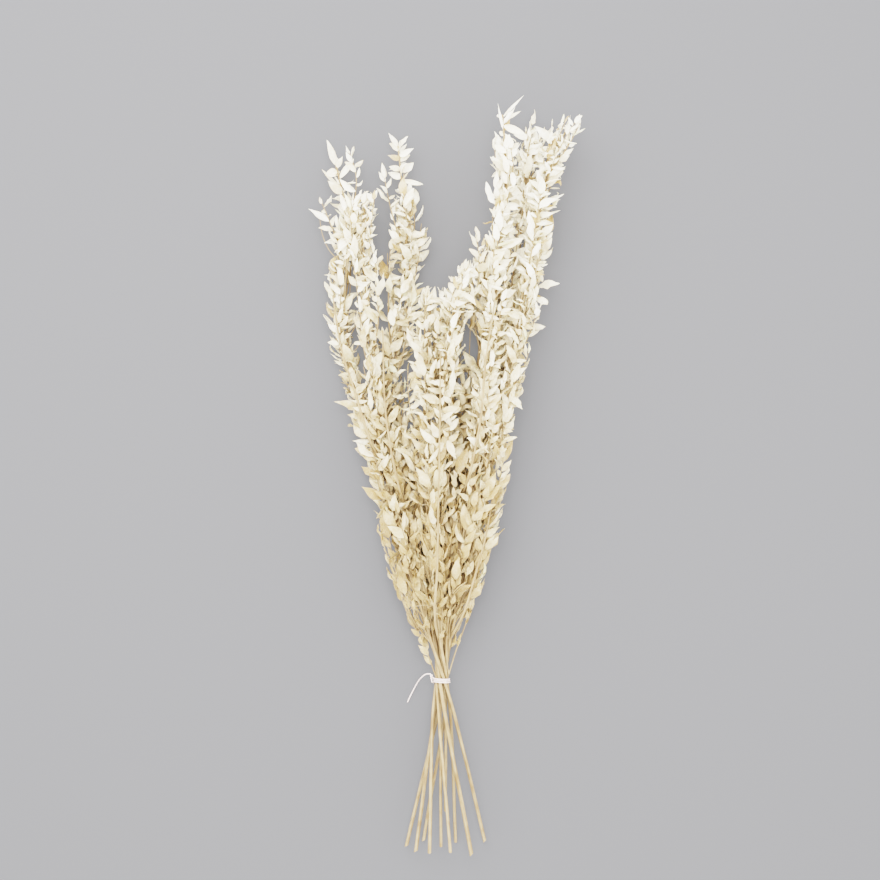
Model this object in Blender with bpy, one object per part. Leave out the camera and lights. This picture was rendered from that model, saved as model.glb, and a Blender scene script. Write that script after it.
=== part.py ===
"""A tied bundle of bleached, dried ruscus, lying on a flat surface.

Ten leafy stems are held at the neck by a wound string with one loose tail. A leafy stem is one solid: a
main stem, its side twigs and its leaves, grown by one rule from a seed, kept clear of the other stems and
joined.

Lengths are in millimetres until a mesh is made, which is in metres. +Y runs from the cut ends to the leaf
tips and +Z is up. While the bundle grows, the origin is on the surface under the string. At the end the
bundle moves so that the origin is on the surface under its middle.
"""

import math
import random
from itertools import combinations

import bmesh
import bpy
import numpy as np
from mathutils import Matrix, Vector
from mathutils.bvhtree import BVHTree

METRES = 0.001

# The neck, where the string holds the stems: its height over the surface and the circle of the outer stems
NECK_HEIGHT = 24.0
NECK_CIRCLE = 5.0
CORE_OFFSET = 1.7

# Main stems
STEM_TIP_RADIUS = 0.85
STEM_END_BEFORE_TIP = 16.0
STEM_GAP = 0.45
STEM_SIDES = 5
LEVEL_STEP = 8.0
LOWEST_LEVEL = -176.0
HIGHEST_LEVEL = 584.0
RING_STEP_AT_NECK = 16.0
RING_STEP = 36.0
NECK_REACH = 56.0
RINGS_BELOW_NECK = 3
PRESSING_ROUNDS = 240
SETTLING_ROUNDS = 30

# Side twigs
TWIG_SEED = 120
FIRST_TWIG = 58.0
TWIG_EVERY = 60.0
TWIG_START_SPREAD = 6.0
TWIGS_TOWARDS_TIP = 0.85
TWIG_LENGTH = 104.0
TWIG_LENGTH_SPREAD = 0.15
TWIG_PAST_STEM_END = 8.0
SHORTEST_TWIG = 42.0
TWIG_ROOT_RADIUS = 1.0
TWIG_TIP_RADIUS = 0.8
TWIG_SIDES = 3
TWIG_STEPS = 3
# A twig spreads, up to a share of its length, to a share of the leaves' reach there
TWIG_REACH = 0.8
TWIG_LEAST_REACH = 6.0
TWIG_SPREADS_UP_TO = 0.67
TWIG_TURN_DEG = 25.0
TWIG_GAP = 0.9
TWIG_ROOT_ZONE = 18.0
TWIG_SAMPLE_EVERY = 5.0
GOLDEN_ANGLE_DEG = 137.5
AZIMUTH_TRIES = 24

# Leaves
LEAF_SEED = 1100
BLADE_THICKNESS = 0.6
BLADE_GAP = 0.5
BLADE_OFF_CHAIN = 0.9
BLADE_CLEARS_CHAIN_AT = (0.45, 0.7, 1.0)
ROOT_DEPTH = 0.42
TIP_ROOT_DEPTH = 0.8
LEAF_LENGTH_LOW = 27.0
LEAF_LENGTH_HIGH = 20.0
LEAF_LENGTH_SPREAD = 0.2
LEAF_SLENDERNESS = (0.34, 0.46)
LEAF_EVERY_ON_TWIG = 14.5
LEAF_EVERY_ON_STEM = 28.0
FIRST_LEAF_ON_STEM = 62.0
FIRST_LEAF_ON_TWIG = 16.0
LEAF_PLACE_SPREAD = 0.15
LEAF_OPENING_DEG = (28.0, 72.0)
TIP_LEAF_OPENING_DEG = (0.0, 14.0)
HANGING_SHARE = 0.1
HANGING_OPENING_DEG = (95.0, 140.0)
LEAF_ASIDE = 0.2
FACE_UPWARDS = 0.5
FACE_SPREAD = 0.9
LEAF_ARCH_DEG = (-42.0, 12.0)
LEAST_LEVEL_NORMAL = 0.7
LEAF_TRIES = 40
ENVELOPE_ALLOWANCE = 7.0
PAST_STEM_TIP = 2.0
# Rings of a blade as (share of its length, share of its width), for long leaves and for shorter ones
SHORT_LEAF = 23.0
LONG_BLADE = ((0.3, 0.94), (0.62, 0.84))
SHORT_BLADE = ((0.42, 1.0),)
# How many flat sides on the next leaf up grows, for a twig's three sides and a stem's five
SIDES_ROUND = {3: 1, 5: 2}

# The string
STRING_RADIUS = 0.8
STRING_TURNS = 3
STRING_CLEARANCE = 0.3
BAND_STEPS = 20
TURN_SIDES = 3
# How far behind the turns' middles the ring goes, in string radii
BAND_BACK = 1.2
KNOT_RADIUS = 2.3
KNOT_SHAPE = (0.85, 1.15, 1.0)
KNOT_TURN_DEG = 172.0
KNOT_SHIFT = 4.0
TAIL_RADIUS = 0.7
TAIL_POINT_EVERY = 3.4
# The loose tail, from the knot to its end on the surface, as (across, along, height) from the string
TAIL_ROUTE = ((-11.7, 6.7, 24.4), (-15.5, 6.6, 23.4), (-19.5, 3.6, 18.5), (-23.5, -1.6, 10.5),
              (-26.8, -7.6, 3.8), (-30.0, -14.0, 0.7), (-33.2, -20.4, 0.7), (-35.2, -25.0, 0.7))

# Each stem has its radius at the cut end, its place in the neck, its cut end as (across, along, height), and
# its route above the string as (across, along, height, reach of its leaves), which ends at its last leaf.
# The place in the neck is an angle on the circle, or a side of the middle for the two stems in the core.
STEMS = {
    "ruscus_stem_01": (1.8, 67.5, (44.0, -165.0, 10.0), (
        (-12, 43, 33, 12), (-38, 133, 29, 19), (-62, 233, 24, 20), (-78, 283, 20, 17), (-98, 333, 17, 11),
        (-101, 383, 17, 12), (-99, 433, 18, 18), (-98, 483, 18, 22), (-112, 538, 20, 10))),
    "ruscus_stem_02": (2.1, 112.5, (30.0, -174.0, 34.0), (
        (-7, 43, 24, 10), (-27, 133, 27, 17), (-50, 233, 31, 18), (-65, 303, 32, 14), (-74, 383, 32, 14),
        (-80, 453, 33, 16), (-76, 493, 35, 10))),
    "ruscus_stem_03": (1.7, 157.5, (8.5, -169.0, 44.0), (
        (-6, 43, 17, 11), (-26, 133, 17, 18), (-54, 233, 17, 16), (-57, 283, 17, 15), (-43, 373, 18, 18),
        (-37, 433, 19, 20), (-39, 483, 19, 18), (-46, 557, 22, 10))),
    "ruscus_stem_04": (1.6, 1, (3.6, -131.0, 26.0), (
        (-3, 43, 30, 9), (-11, 133, 39, 15), (-16, 233, 46, 19), (-16, 303, 49, 21), (-12, 363, 50, 17),
        (-10, 395, 50, 10))),
    "ruscus_stem_05": (1.6, -1, (-1.0, -168.0, 20.0), (
        (-2, 43, 22, 9), (-5, 133, 17, 15), (-2, 233, 17, 17), (3, 303, 18, 19), (6, 363, 19, 17),
        (6, 397, 20, 10))),
    "ruscus_stem_06": (1.7, 22.5, (14.0, -167.0, 1.7), (
        (-2, 43, 36, 8), (-6, 133, 46, 13), (-3.5, 233, 54, 16), (-0.5, 293, 56, 16), (5, 333, 57, 15),
        (15, 383, 57, 16), (28, 421, 55, 10))),
    "ruscus_stem_07": (1.9, -157.5, (-12.6, -170.0, 42.0), (
        (3, 43, 14, 9), (13, 133, 15, 15), (23, 233, 19, 16), (32, 283, 23, 13), (39, 333, 26, 10),
        (42, 383, 28, 16), (49, 445, 30, 12))),
    "ruscus_stem_08": (1.7, -22.5, (-19.0, -166.0, 1.7), (
        (4, 43, 31, 9), (19, 133, 42, 15), (36, 233, 49, 15), (44, 283, 51, 13), (51, 333, 52, 11),
        (53, 383, 52, 13), (64, 483, 52, 16), (63, 533, 52, 13), (59, 583, 52, 9))),
    "ruscus_stem_09": (1.8, -67.5, (-36.4, -169.5, 12.0), (
        (8, 43, 27, 10), (31, 133, 38, 18), (49, 233, 43, 18), (69, 333, 46, 17), (90, 433, 48, 16),
        (101, 483, 48, 17), (114, 533, 47, 15), (132, 567, 46, 10))),
    "ruscus_stem_10": (1.9, -112.5, (-26.6, -171.0, 32.0), (
        (6, 43, 19, 10), (22, 133, 16, 16), (41, 233, 16, 16), (61, 333, 16, 16), (78, 433, 16, 18),
        (91, 533, 16, 14), (99, 560, 17, 10))),
}

# Leaves set one by one on the three tips that stand clear. Each has its level on the stem, the place of its tip
# as (across, along, height), and its width. From a level a little lower the stem has no others, and further
# down its twigs end.
SET_LEAVES = {
    "ruscus_stem_01": (
        (521, (-115.6, 546.6, 26), 7), (519, (-101, 530, 24), 6), (515, (-118, 511, 24), 9),
        (508, (-89.4, 528, 20), 6), (498, (-123.4, 516.6, 13), 4), (493, (-116.3, 503.7, 24), 9)),
    "ruscus_stem_03": (
        (540, (-53.7, 553.4, 25), 5.7), (539, (-35.1, 550.9, 23), 5), (535, (-53, 544.4, 17), 6),
        (534, (-34.9, 543, 17), 4), (530, (-29.1, 539.1, 23), 6.5), (527, (-54.9, 530.1, 25), 6.5),
        (525, (-32, 532.3, 16), 5), (517, (-53.4, 518.7, 25), 6), (515, (-28.4, 523, 24), 9),
        (508, (-54.9, 515.1, 15), 8), (506, (-19.1, 500.9, 21), 5)),
    "ruscus_stem_08": (
        (565, (81.1, 586.6, 54), 3), (562, (79, 570.9, 48), 4), (556, (83, 548.7, 55), 9),
        (552, (54, 577.3, 56), 3), (509, (48, 525.1, 55), 7), (472, (48, 484.4, 54), 5)),
}
SET_LEAVES_SEED = 70
NO_OTHERS_ABOVE = {"ruscus_stem_01": 486.0, "ruscus_stem_03": 500.0, "ruscus_stem_08": 545.0}
TWIGS_END_LOWER = 20.0
SET_LEAF_TILT = 0.35
SET_LEAF_ARCH_DEG = (-16.0, 8.0)

# Colours of the bleached plant and of its string
LEAF_COLOUR = (0.80, 0.73, 0.58, 1.0)
STRING_COLOUR = (0.86, 0.80, 0.74, 1.0)
LEAF_ROUGHNESS = 0.75
STRING_ROUGHNESS = 0.9


def clear_scene():
    for item in list(bpy.data.objects):
        bpy.data.objects.remove(item, do_unlink=True)


def outward(azimuth):
    """The unit vector square to the bundle's length, at an angle from +X towards +Z."""
    return Vector((math.cos(azimuth), 0.0, math.sin(azimuth)))


def smooth_values(knots, values, at):
    """Values at the places in at, on a smooth curve through the values at the knots."""
    knots, values = np.asarray(knots, float), np.asarray(values, float)
    gaps = np.diff(knots)
    slopes = np.diff(values) / gaps
    inner = (slopes[1:] * gaps[:-1] + slopes[:-1] * gaps[1:]) / (gaps[1:] + gaps[:-1])
    tangents = np.concatenate(([slopes[0]], inner, [slopes[-1]]))
    part = np.clip(np.searchsorted(knots, at, side="right") - 1, 0, len(gaps) - 1)
    u = (at - knots[part]) / gaps[part]
    start = values[part] * (1 + 2 * u) * (1 - u) ** 2 + tangents[part] * gaps[part] * u * (1 - u) ** 2
    end = values[part + 1] * u * u * (3 - 2 * u) - tangents[part + 1] * gaps[part] * u * u * (1 - u)
    return start + end


class Stem:
    """A main stem: where its axis runs, how thick it is and how far its leaves reach, at any level."""

    levels = np.arange(LOWEST_LEVEL, HIGHEST_LEVEL, LEVEL_STEP)

    def __init__(self, name, radius, place, cut_end, route):
        self.name = name
        self.cut_radius = radius
        self.start = cut_end[1]
        self.tip = route[-1][1]
        self.end = self.tip - STEM_END_BEFORE_TIP
        self.leafy_to = NO_OTHERS_ABOVE.get(name, self.end)
        self.twigs_to = self.leafy_to - TWIGS_END_LOWER if name in NO_OTHERS_ABOVE else self.end
        neck = self.neck_place(place)
        knots = [cut_end[1], 0.0] + [point[1] for point in route]
        across = [cut_end[0], neck.x] + [point[0] for point in route]
        height = [cut_end[2], neck.z] + [point[2] for point in route]
        at = np.clip(self.levels, knots[0], knots[-1])
        self.places = np.stack([smooth_values(knots, across, at), smooth_values(knots, height, at)], axis=1)
        self.reach_knots = [point[1] for point in route]
        self.reaches = [point[3] for point in route]
        self.radii = np.array([self.radius_at(level) for level in self.levels])

    @staticmethod
    def neck_place(place):
        if abs(place) == 1:
            return Vector((place * CORE_OFFSET, 0.0, NECK_HEIGHT))
        return Vector((0.0, 0.0, NECK_HEIGHT)) + NECK_CIRCLE * outward(math.radians(place))

    def radius_at(self, along):
        share = min(1.0, max(0.0, along / self.tip))
        return self.cut_radius + (STEM_TIP_RADIUS - self.cut_radius) * share

    def reach_at(self, along):
        return float(np.interp(along, self.reach_knots, self.reaches))

    def at(self, along):
        across = float(np.interp(along, self.levels, self.places[:, 0]))
        height = float(np.interp(along, self.levels, self.places[:, 1]))
        return Vector((across, along, height))


def press_apart(stems):
    """Moves the stems' axes sideways, level by level, until no two stems touch."""
    first = [stem.places.copy() for stem in stems]
    for round_number in range(PRESSING_ROUNDS + SETTLING_ROUNDS):
        for a, b in combinations(stems, 2):
            apart = b.places - a.places
            distance = np.maximum(np.linalg.norm(apart, axis=1, keepdims=True), 1e-6)
            lack = np.maximum(0.0, (a.radii + b.radii + STEM_GAP)[:, None] - distance)
            a.places -= apart / distance * lack / 2
            b.places += apart / distance * lack / 2
        for stem, start in zip(stems, first):
            if round_number < PRESSING_ROUNDS:
                moved = stem.places - start
                moved[1:-1] = 0.5 * moved[1:-1] + 0.25 * (moved[:-2] + moved[2:])
                stem.places = start + moved
            stem.places[:, 1] = np.maximum(stem.places[:, 1], stem.radii)


def ring_levels(stem):
    """The levels at which a stem has a ring of points, closer together about the neck."""
    below = np.linspace(stem.start, -NECK_REACH, RINGS_BELOW_NECK + 1)[:-1]
    middle = np.arange(-NECK_REACH, NECK_REACH, RING_STEP_AT_NECK)
    above = np.linspace(NECK_REACH, stem.end, round((stem.end - NECK_REACH) / RING_STEP) + 1)
    return [float(level) for level in (*below, *middle, *above)]


def tube_shape(points, radii, sides, turn):
    """Points and faces of a closed tube through the points, its rings square to the bundle's length."""
    verts, faces = [], []
    for point, radius in zip(points, radii):
        verts += [point + radius * outward(turn + 2 * math.pi * k / sides) for k in range(sides)]
    for ring in range(len(points) - 1):
        for k in range(sides):
            a, b = ring * sides + k, ring * sides + (k + 1) % sides
            faces.append((a, a + sides, b + sides, b))
    last = (len(points) - 1) * sides
    faces += [tuple(range(sides)), tuple(last + k for k in reversed(range(sides)))]
    return verts, faces


class Chain:
    """A stem or a twig that leaves grow on: its tube, its leafy stem and where along it the leaves are."""

    def __init__(self, owner, points, radii, sides, turn, first_leaf, leaf_every):
        self.owner = owner
        self.points = points
        self.radii = radii
        self.sides = sides
        self.turn = turn
        self.first_leaf = first_leaf
        self.leaf_every = leaf_every
        self.shape = tube_shape(points, radii, sides, turn)
        self.steps = [0.0]
        for a, b in zip(points, points[1:]):
            self.steps.append(self.steps[-1] + (b - a).length)
        self.length = self.steps[-1]
        self.leafy_to = self.length

    def at(self, distance):
        """The point, the direction and the radius of the chain at a distance along it."""
        part = 1
        while part < len(self.steps) - 1 and self.steps[part] < distance:
            part += 1
        a, b = self.points[part - 1], self.points[part]
        share = (distance - self.steps[part - 1]) / (self.steps[part] - self.steps[part - 1])
        radius = self.radii[part - 1] + (self.radii[part] - self.radii[part - 1]) * share
        return a.lerp(b, share), (b - a).normalized(), radius

    def distance_at(self, level):
        return float(np.interp(level, [point.y for point in self.points], self.steps))

    def face_azimuth(self, number):
        """The way that one of the chain's flat sides looks."""
        return self.turn + 2 * math.pi * (number + 0.5) / self.sides

    def distance_to(self, point):
        nearest = math.inf
        for a, b in zip(self.points, self.points[1:]):
            share = max(0.0, min(1.0, (point - a).dot(b - a) / (b - a).length_squared))
            nearest = min(nearest, (point - a.lerp(b, share)).length)
        return nearest


def main_chain(stem):
    levels = ring_levels(stem)
    points = [stem.at(level) for level in levels]
    radii = [stem.radius_at(level) for level in levels]
    first_leaf = FIRST_LEAF_ON_STEM - stem.start
    chain = Chain(stem, points, radii, STEM_SIDES, -math.pi / 2, first_leaf, LEAF_EVERY_ON_STEM)
    chain.leafy_to = chain.distance_at(stem.leafy_to)
    return chain


def twig_chain(stem, start, length, azimuth):
    """A twig that leaves the stem at a level and then runs along beside it."""
    reach = max(TWIG_LEAST_REACH, TWIG_REACH * stem.reach_at(start + TWIG_SPREADS_UP_TO * length))
    points, radii = [], []
    for step in range(TWIG_STEPS + 1):
        share = step / TWIG_STEPS
        along = start + share * length
        away = reach * math.sin(min(1.0, share / TWIG_SPREADS_UP_TO) * math.pi / 2)
        point = stem.at(along) + away * outward(azimuth + math.radians(TWIG_TURN_DEG) * share)
        point.z = max(point.z, TWIG_ROOT_RADIUS)
        points.append(point)
        radii.append(TWIG_ROOT_RADIUS + (TWIG_TIP_RADIUS - TWIG_ROOT_RADIUS) * share)
    return Chain(stem, points, radii, TWIG_SIDES, azimuth, FIRST_LEAF_ON_TWIG, LEAF_EVERY_ON_TWIG)


def twig_is_clear(twig, chains):
    """True where the twig, past its root, keeps its distance from every stem and every other twig."""
    for distance in np.arange(0.0, twig.length, TWIG_SAMPLE_EVERY):
        point, _, radius = twig.at(distance)
        for other in chains:
            if other.owner is twig.owner and distance < TWIG_ROOT_ZONE:
                continue
            if other.distance_to(point) < radius + max(other.radii) + TWIG_GAP:
                return False
    return True


def grow_twigs(stem, chains, rng):
    """Twigs at even levels up the stem, each turned by the golden angle and then on, until it is clear."""
    count = max(1, round((stem.twigs_to - FIRST_TWIG) / TWIG_EVERY))
    azimuth = rng.uniform(0.0, 2 * math.pi)
    for number in range(count):
        share = (number / max(1, count - 1)) ** TWIGS_TOWARDS_TIP
        start = FIRST_TWIG + (stem.twigs_to - SHORTEST_TWIG - FIRST_TWIG) * share
        if 0 < number < count - 1:
            start += rng.uniform(-TWIG_START_SPREAD, TWIG_START_SPREAD)
        length = TWIG_LENGTH * (1.0 + rng.uniform(-TWIG_LENGTH_SPREAD, TWIG_LENGTH_SPREAD))
        length = min(length, stem.twigs_to - start + TWIG_PAST_STEM_END)
        azimuth += math.radians(GOLDEN_ANGLE_DEG)
        for attempt in range(AZIMUTH_TRIES):
            step = (attempt + 1) // 2 * (1 if attempt % 2 else -1)
            twig = twig_chain(stem, start, length, azimuth + 2 * math.pi * step / AZIMUTH_TRIES)
            if twig_is_clear(twig, chains):
                chains.append(twig)
                break


class Leaf:
    """A pointed blade: its root on a chain, the way it points, the way its face looks, and its size."""

    def __init__(self, root, direction, normal, length, width, arch):
        self.root = root
        self.direction = direction
        self.side = direction.cross(normal).normalized()
        self.normal = self.side.cross(direction)
        self.length = length
        self.half_width = width / 2
        self.arch = arch
        self.outline = SHORT_BLADE if length < SHORT_LEAF else LONG_BLADE

    def arched(self, share):
        """Middle and normal at a share of the length. The blade is straight up to its first ring."""
        straight = self.outline[0][0]
        bent = max(0.0, share - straight)
        bend = self.arch * bent / (1.0 - straight)
        chord_way = self.direction * math.cos(bend / 2) + self.normal * math.sin(bend / 2)
        middle = self.root + self.length * (min(share, straight) * self.direction + bent * chord_way)
        return middle, self.normal * math.cos(bend) - self.direction * math.sin(bend)

    def meets_surface(self, share, half_width, half_thickness):
        middle, normal = self.arched(share)
        return share > 0.0 and middle.z < abs(self.side.z) * half_width + abs(normal.z) * half_thickness

    def is_wrung(self):
        """True where the surface would turn the blade too far on its way to lying flat."""
        for share, width in (*self.outline, (1.0, 0.0)):
            half_width = width * self.half_width + BLADE_GAP
            steep = abs(self.arched(share)[1].z) < LEAST_LEVEL_NORMAL
            if steep and self.meets_surface(share, half_width, BLADE_THICKNESS / 2 + BLADE_GAP):
                return True
        return False

    def section(self, share, half_width, half_thickness):
        """Middle, side and normal of the blade at a share of its length, flat where it meets the surface."""
        middle, normal = self.arched(share)
        if not self.meets_surface(share, half_width, half_thickness):
            return middle, self.side, normal
        level = Vector((0.0, 0.0, 1.0 if normal.z >= 0.0 else -1.0))
        side = Vector((self.side.x, self.side.y, 0.0)).normalized()
        return Vector((middle.x, middle.y, half_thickness)), side, level

    def shape(self, margin=0.0):
        """Points and faces of the closed blade, grown by a margin."""
        half_thickness = BLADE_THICKNESS / 2 + margin
        middle, _, normal = self.section(0.0, 0.0, half_thickness)
        verts = [middle + half_thickness * normal, middle - half_thickness * normal]
        for share, width in self.outline:
            half_width = width * self.half_width + margin
            middle, side, normal = self.section(share, half_width, half_thickness)
            verts += [middle - half_width * side + half_thickness * normal,
                      middle + half_width * side + half_thickness * normal,
                      middle + half_width * side - half_thickness * normal,
                      middle - half_width * side - half_thickness * normal]
        tip, _, _ = self.section(1.0 + margin / self.length, 0.0, half_thickness)
        verts.append(tip)
        faces = [(0, 3, 2), (1, 5, 4), (0, 2, 5, 1), (0, 1, 4, 3)]
        last_ring = len(verts) - 5
        for ring in range(2, last_ring, 4):
            for k in range(4):
                a, b = ring + k, ring + (k + 1) % 4
                faces += [(a, b, b + 4), (a, b + 4, a + 4)] if k != 2 else [(a, b, a + 4), (b, b + 4, a + 4)]
        faces += [(last_ring + k, last_ring + (k + 1) % 4, last_ring + 4) for k in range(4)]
        return verts, faces


class ClearSpace:
    """What has been placed so far, for telling whether a new blade is clear of it."""

    def __init__(self):
        self.items = []

    def add(self, owner, shape):
        verts, faces = shape
        low = [min(v[k] for v in verts) for k in range(3)]
        high = [max(v[k] for v in verts) for k in range(3)]
        self.items.append((owner, low, high, BVHTree.FromPolygons(verts, faces)))

    def is_clear(self, shape, but_not):
        verts, faces = shape
        low = [min(v[k] for v in verts) for k in range(3)]
        high = [max(v[k] for v in verts) for k in range(3)]
        tree = None
        for owner, other_low, other_high, other in self.items:
            if owner is but_not or any(low[k] > other_high[k] or high[k] < other_low[k] for k in range(3)):
                continue
            tree = tree or BVHTree.FromPolygons(verts, faces)
            if tree.overlap(other):
                return False
        return True


def draw_leaf(chain, distance, face, rng, at_tip):
    """One random leaf at a place on a chain, opening away from one of its flat sides."""
    middle, ahead, radius = chain.at(distance)
    stem = chain.owner
    share = min(1.0, max(0.0, middle.y / HIGHEST_LEVEL))
    length = LEAF_LENGTH_LOW + (LEAF_LENGTH_HIGH - LEAF_LENGTH_LOW) * share
    length *= 1.0 + rng.uniform(-LEAF_LENGTH_SPREAD, LEAF_LENGTH_SPREAD)
    width = length * rng.uniform(*LEAF_SLENDERNESS)
    away = outward(chain.face_azimuth(face))
    away = (away - ahead * away.dot(ahead)).normalized()
    root = middle + away * max(0.0, radius * math.cos(math.pi / chain.sides) - ROOT_DEPTH)
    aside = away.cross(ahead) * rng.uniform(-LEAF_ASIDE, LEAF_ASIDE)
    opening = math.radians(rng.uniform(*LEAF_OPENING_DEG))
    if rng.random() < HANGING_SHARE:
        opening = math.radians(rng.uniform(*HANGING_OPENING_DEG))
    if at_tip:
        opening = math.radians(rng.uniform(*TIP_LEAF_OPENING_DEG))
        root = middle
    direction = (ahead * math.cos(opening) + (away + aside) * math.sin(opening)).normalized()
    from_axis = root - stem.at(root.y)
    face_way = from_axis.normalized() if from_axis.length > 1.0 else away
    face_way = face_way + Vector([rng.uniform(-FACE_SPREAD, FACE_SPREAD) for _ in range(3)])
    face_way.z += FACE_UPWARDS
    face_way = face_way - direction * face_way.dot(direction)
    if face_way.length < 0.1:
        face_way = direction.orthogonal()
    arch = math.radians(rng.uniform(*LEAF_ARCH_DEG))
    return Leaf(root, direction, face_way.normalized(), length, width, arch)


def leaf_fits(leaf, chain, space):
    """True where the leaf stays in its stem's envelope, leaves its own chain and is clear of all else."""
    stem = chain.owner
    tip, _, _ = leaf.section(1.0, 0.0, BLADE_THICKNESS / 2)
    axis = stem.at(min(tip.y, stem.tip))
    off_axis = Vector((tip.x - axis.x, 0.0, tip.z - axis.z)).length
    if tip.y > stem.tip + PAST_STEM_TIP or off_axis > stem.reach_at(tip.y) + ENVELOPE_ALLOWANCE:
        return False
    for share in BLADE_CLEARS_CHAIN_AT:
        middle, _, _ = leaf.section(share, 0.0, BLADE_THICKNESS / 2)
        if chain.distance_to(middle) < chain.radii[0] + BLADE_OFF_CHAIN and middle.y < chain.points[-1].y:
            return False
    return not leaf.is_wrung() and space.is_clear(leaf.shape(BLADE_GAP), chain)


def leaf_places(chain, rng):
    """Distances along a chain where leaves grow, and the side each is on, ending with one at the tip."""
    face = rng.randrange(chain.sides)
    leafy = chain.leafy_to - chain.first_leaf
    count = max(1, round(leafy / chain.leaf_every))
    for number in range(count):
        share = (number + rng.uniform(-LEAF_PLACE_SPREAD, LEAF_PLACE_SPREAD)) / count
        face = (face + SIDES_ROUND[chain.sides]) % chain.sides
        yield chain.first_leaf + leafy * max(0.0, share), face, False
    if chain.leafy_to == chain.length:
        yield chain.length - TIP_ROOT_DEPTH, face, True


def set_leaf(chain, level, tip, width, rng):
    """A leaf from a level on a stem to a given tip, its face turned up and a little aside."""
    middle, ahead, radius = chain.at(chain.distance_at(level))
    away = Vector(tip) - middle
    away = (away - ahead * away.dot(ahead)).normalized()
    root = middle + away * max(0.0, radius * math.cos(math.pi / chain.sides) - ROOT_DEPTH)
    way = Vector(tip) - root
    face_way = Vector([rng.uniform(-SET_LEAF_TILT, SET_LEAF_TILT) for _ in range(3)])
    face_way.z += 1.0
    face_way = face_way - way * face_way.dot(way) / way.length_squared
    arch = math.radians(rng.uniform(*SET_LEAF_ARCH_DEG))
    return Leaf(root, way.normalized(), face_way.normalized(), way.length, width, arch)


def grow_leaves(chains, space):
    """The set leaves, then others on every chain from its tip down, the chains in turns, each drawn till clear."""
    leaves = []
    rng = random.Random(SET_LEAVES_SEED)
    for chain in chains:
        on_stem = SET_LEAVES.get(chain.owner.name, ()) if chain.sides == STEM_SIDES else ()
        for level, tip, width in on_stem:
            leaf = set_leaf(chain, level, tip, width, rng)
            space.add(None, leaf.shape())
            leaves.append((chain.owner, leaf))
    waiting = []
    for number, chain in enumerate(chains):
        rng = random.Random(LEAF_SEED + number)
        waiting.append((chain, list(leaf_places(chain, rng)), rng))
    while any(places for _, places, _ in waiting):
        for chain, places, rng in waiting:
            if not places:
                continue
            distance, face, at_tip = places.pop()
            for _ in range(LEAF_TRIES):
                leaf = draw_leaf(chain, distance, face, rng, at_tip)
                if leaf_fits(leaf, chain, space):
                    space.add(None, leaf.shape())
                    leaves.append((chain.owner, leaf))
                    break
    return leaves


def make_object(name, shape, material=None):
    """A mesh object in metres from points and faces in millimetres."""
    verts, faces = shape
    mesh = bpy.data.meshes.new(name)
    mesh.from_pydata([METRES * v for v in verts], [], faces)
    item = bpy.data.objects.new(name, mesh)
    bpy.context.scene.collection.objects.link(item)
    if material:
        mesh.materials.append(material)
    return item


def join_to(item, parts):
    """Joins the parts to the item as one closed solid and removes them."""
    group = bpy.data.collections.new(item.name + "_parts")
    for part in parts:
        group.objects.link(part)
    joint = item.modifiers.new("joined", "BOOLEAN")
    joint.operation = "UNION"
    joint.operand_type = "COLLECTION"
    joint.collection = group
    joined = bpy.data.meshes.new_from_object(item.evaluated_get(bpy.context.evaluated_depsgraph_get()))
    joined.name = item.name
    item.modifiers.clear()
    item.data = joined
    for part in parts:
        bpy.data.objects.remove(part, do_unlink=True)
    bpy.data.collections.remove(group)


def plain_material(name, colour, roughness):
    material = bpy.data.materials.new(name)
    material.use_nodes = True
    shader = material.node_tree.nodes["Principled BSDF"]
    shader.inputs["Base Color"].default_value = colour
    shader.inputs["Roughness"].default_value = roughness
    shader.inputs["Metallic"].default_value = 0.0
    return material


def make_leafy_stem(stem, chains, leaves, material):
    own = [chain for chain in chains if chain.owner is stem]
    item = make_object(stem.name, own[0].shape, material)
    parts = [make_object(stem.name + "_twig", twig.shape) for twig in own[1:]]
    parts += [make_object(stem.name + "_leaf", leaf.shape()) for owner, leaf in leaves if owner is stem]
    join_to(item, parts)
    return item


def neck_radius(stems):
    """How far the stems reach from the middle of the neck, within the height of the string's turns."""
    middle = Vector((0.0, 0.0, NECK_HEIGHT))
    farthest = 0.0
    for stem in stems:
        for along in (-STRING_TURNS * STRING_RADIUS, 0.0, STRING_TURNS * STRING_RADIUS):
            place = stem.at(along)
            place.y = 0.0
            farthest = max(farthest, (place - middle).length + stem.radius_at(along))
    return farthest


def band_shape(inner):
    """The string's turns pressed side by side into one ring, each turn a ridge."""
    pitch = 2 * STRING_RADIUS
    low = -STRING_TURNS * STRING_RADIUS
    profile = [(inner, low), (inner, -low)]
    for turn in reversed(range(STRING_TURNS)):
        for k in range(TURN_SIDES + 1):
            if k == TURN_SIDES and turn > 0:
                continue
            angle = math.pi / 2 - math.pi * k / TURN_SIDES
            radius = inner + STRING_RADIUS * (BAND_BACK + math.cos(angle))
            profile.append((radius, low + pitch * (turn + 0.5) + STRING_RADIUS * math.sin(angle)))
    verts, faces = [], []
    for step in range(BAND_STEPS):
        around = outward(2 * math.pi * step / BAND_STEPS)
        for radius, along in profile:
            verts.append(around * radius + Vector((0.0, along, NECK_HEIGHT)))
    count = len(profile)
    for step in range(BAND_STEPS):
        a, b = step * count, (step + 1) % BAND_STEPS * count
        for k in range(count):
            after = (k + 1) % count
            faces += [(a + k, a + after, b + after), (a + k, b + after, b + k)]
    return verts, faces


def knot_centre(inner):
    around = outward(math.radians(KNOT_TURN_DEG)) * (inner + KNOT_RADIUS)
    return around + Vector((0.0, KNOT_SHIFT, NECK_HEIGHT))


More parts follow.
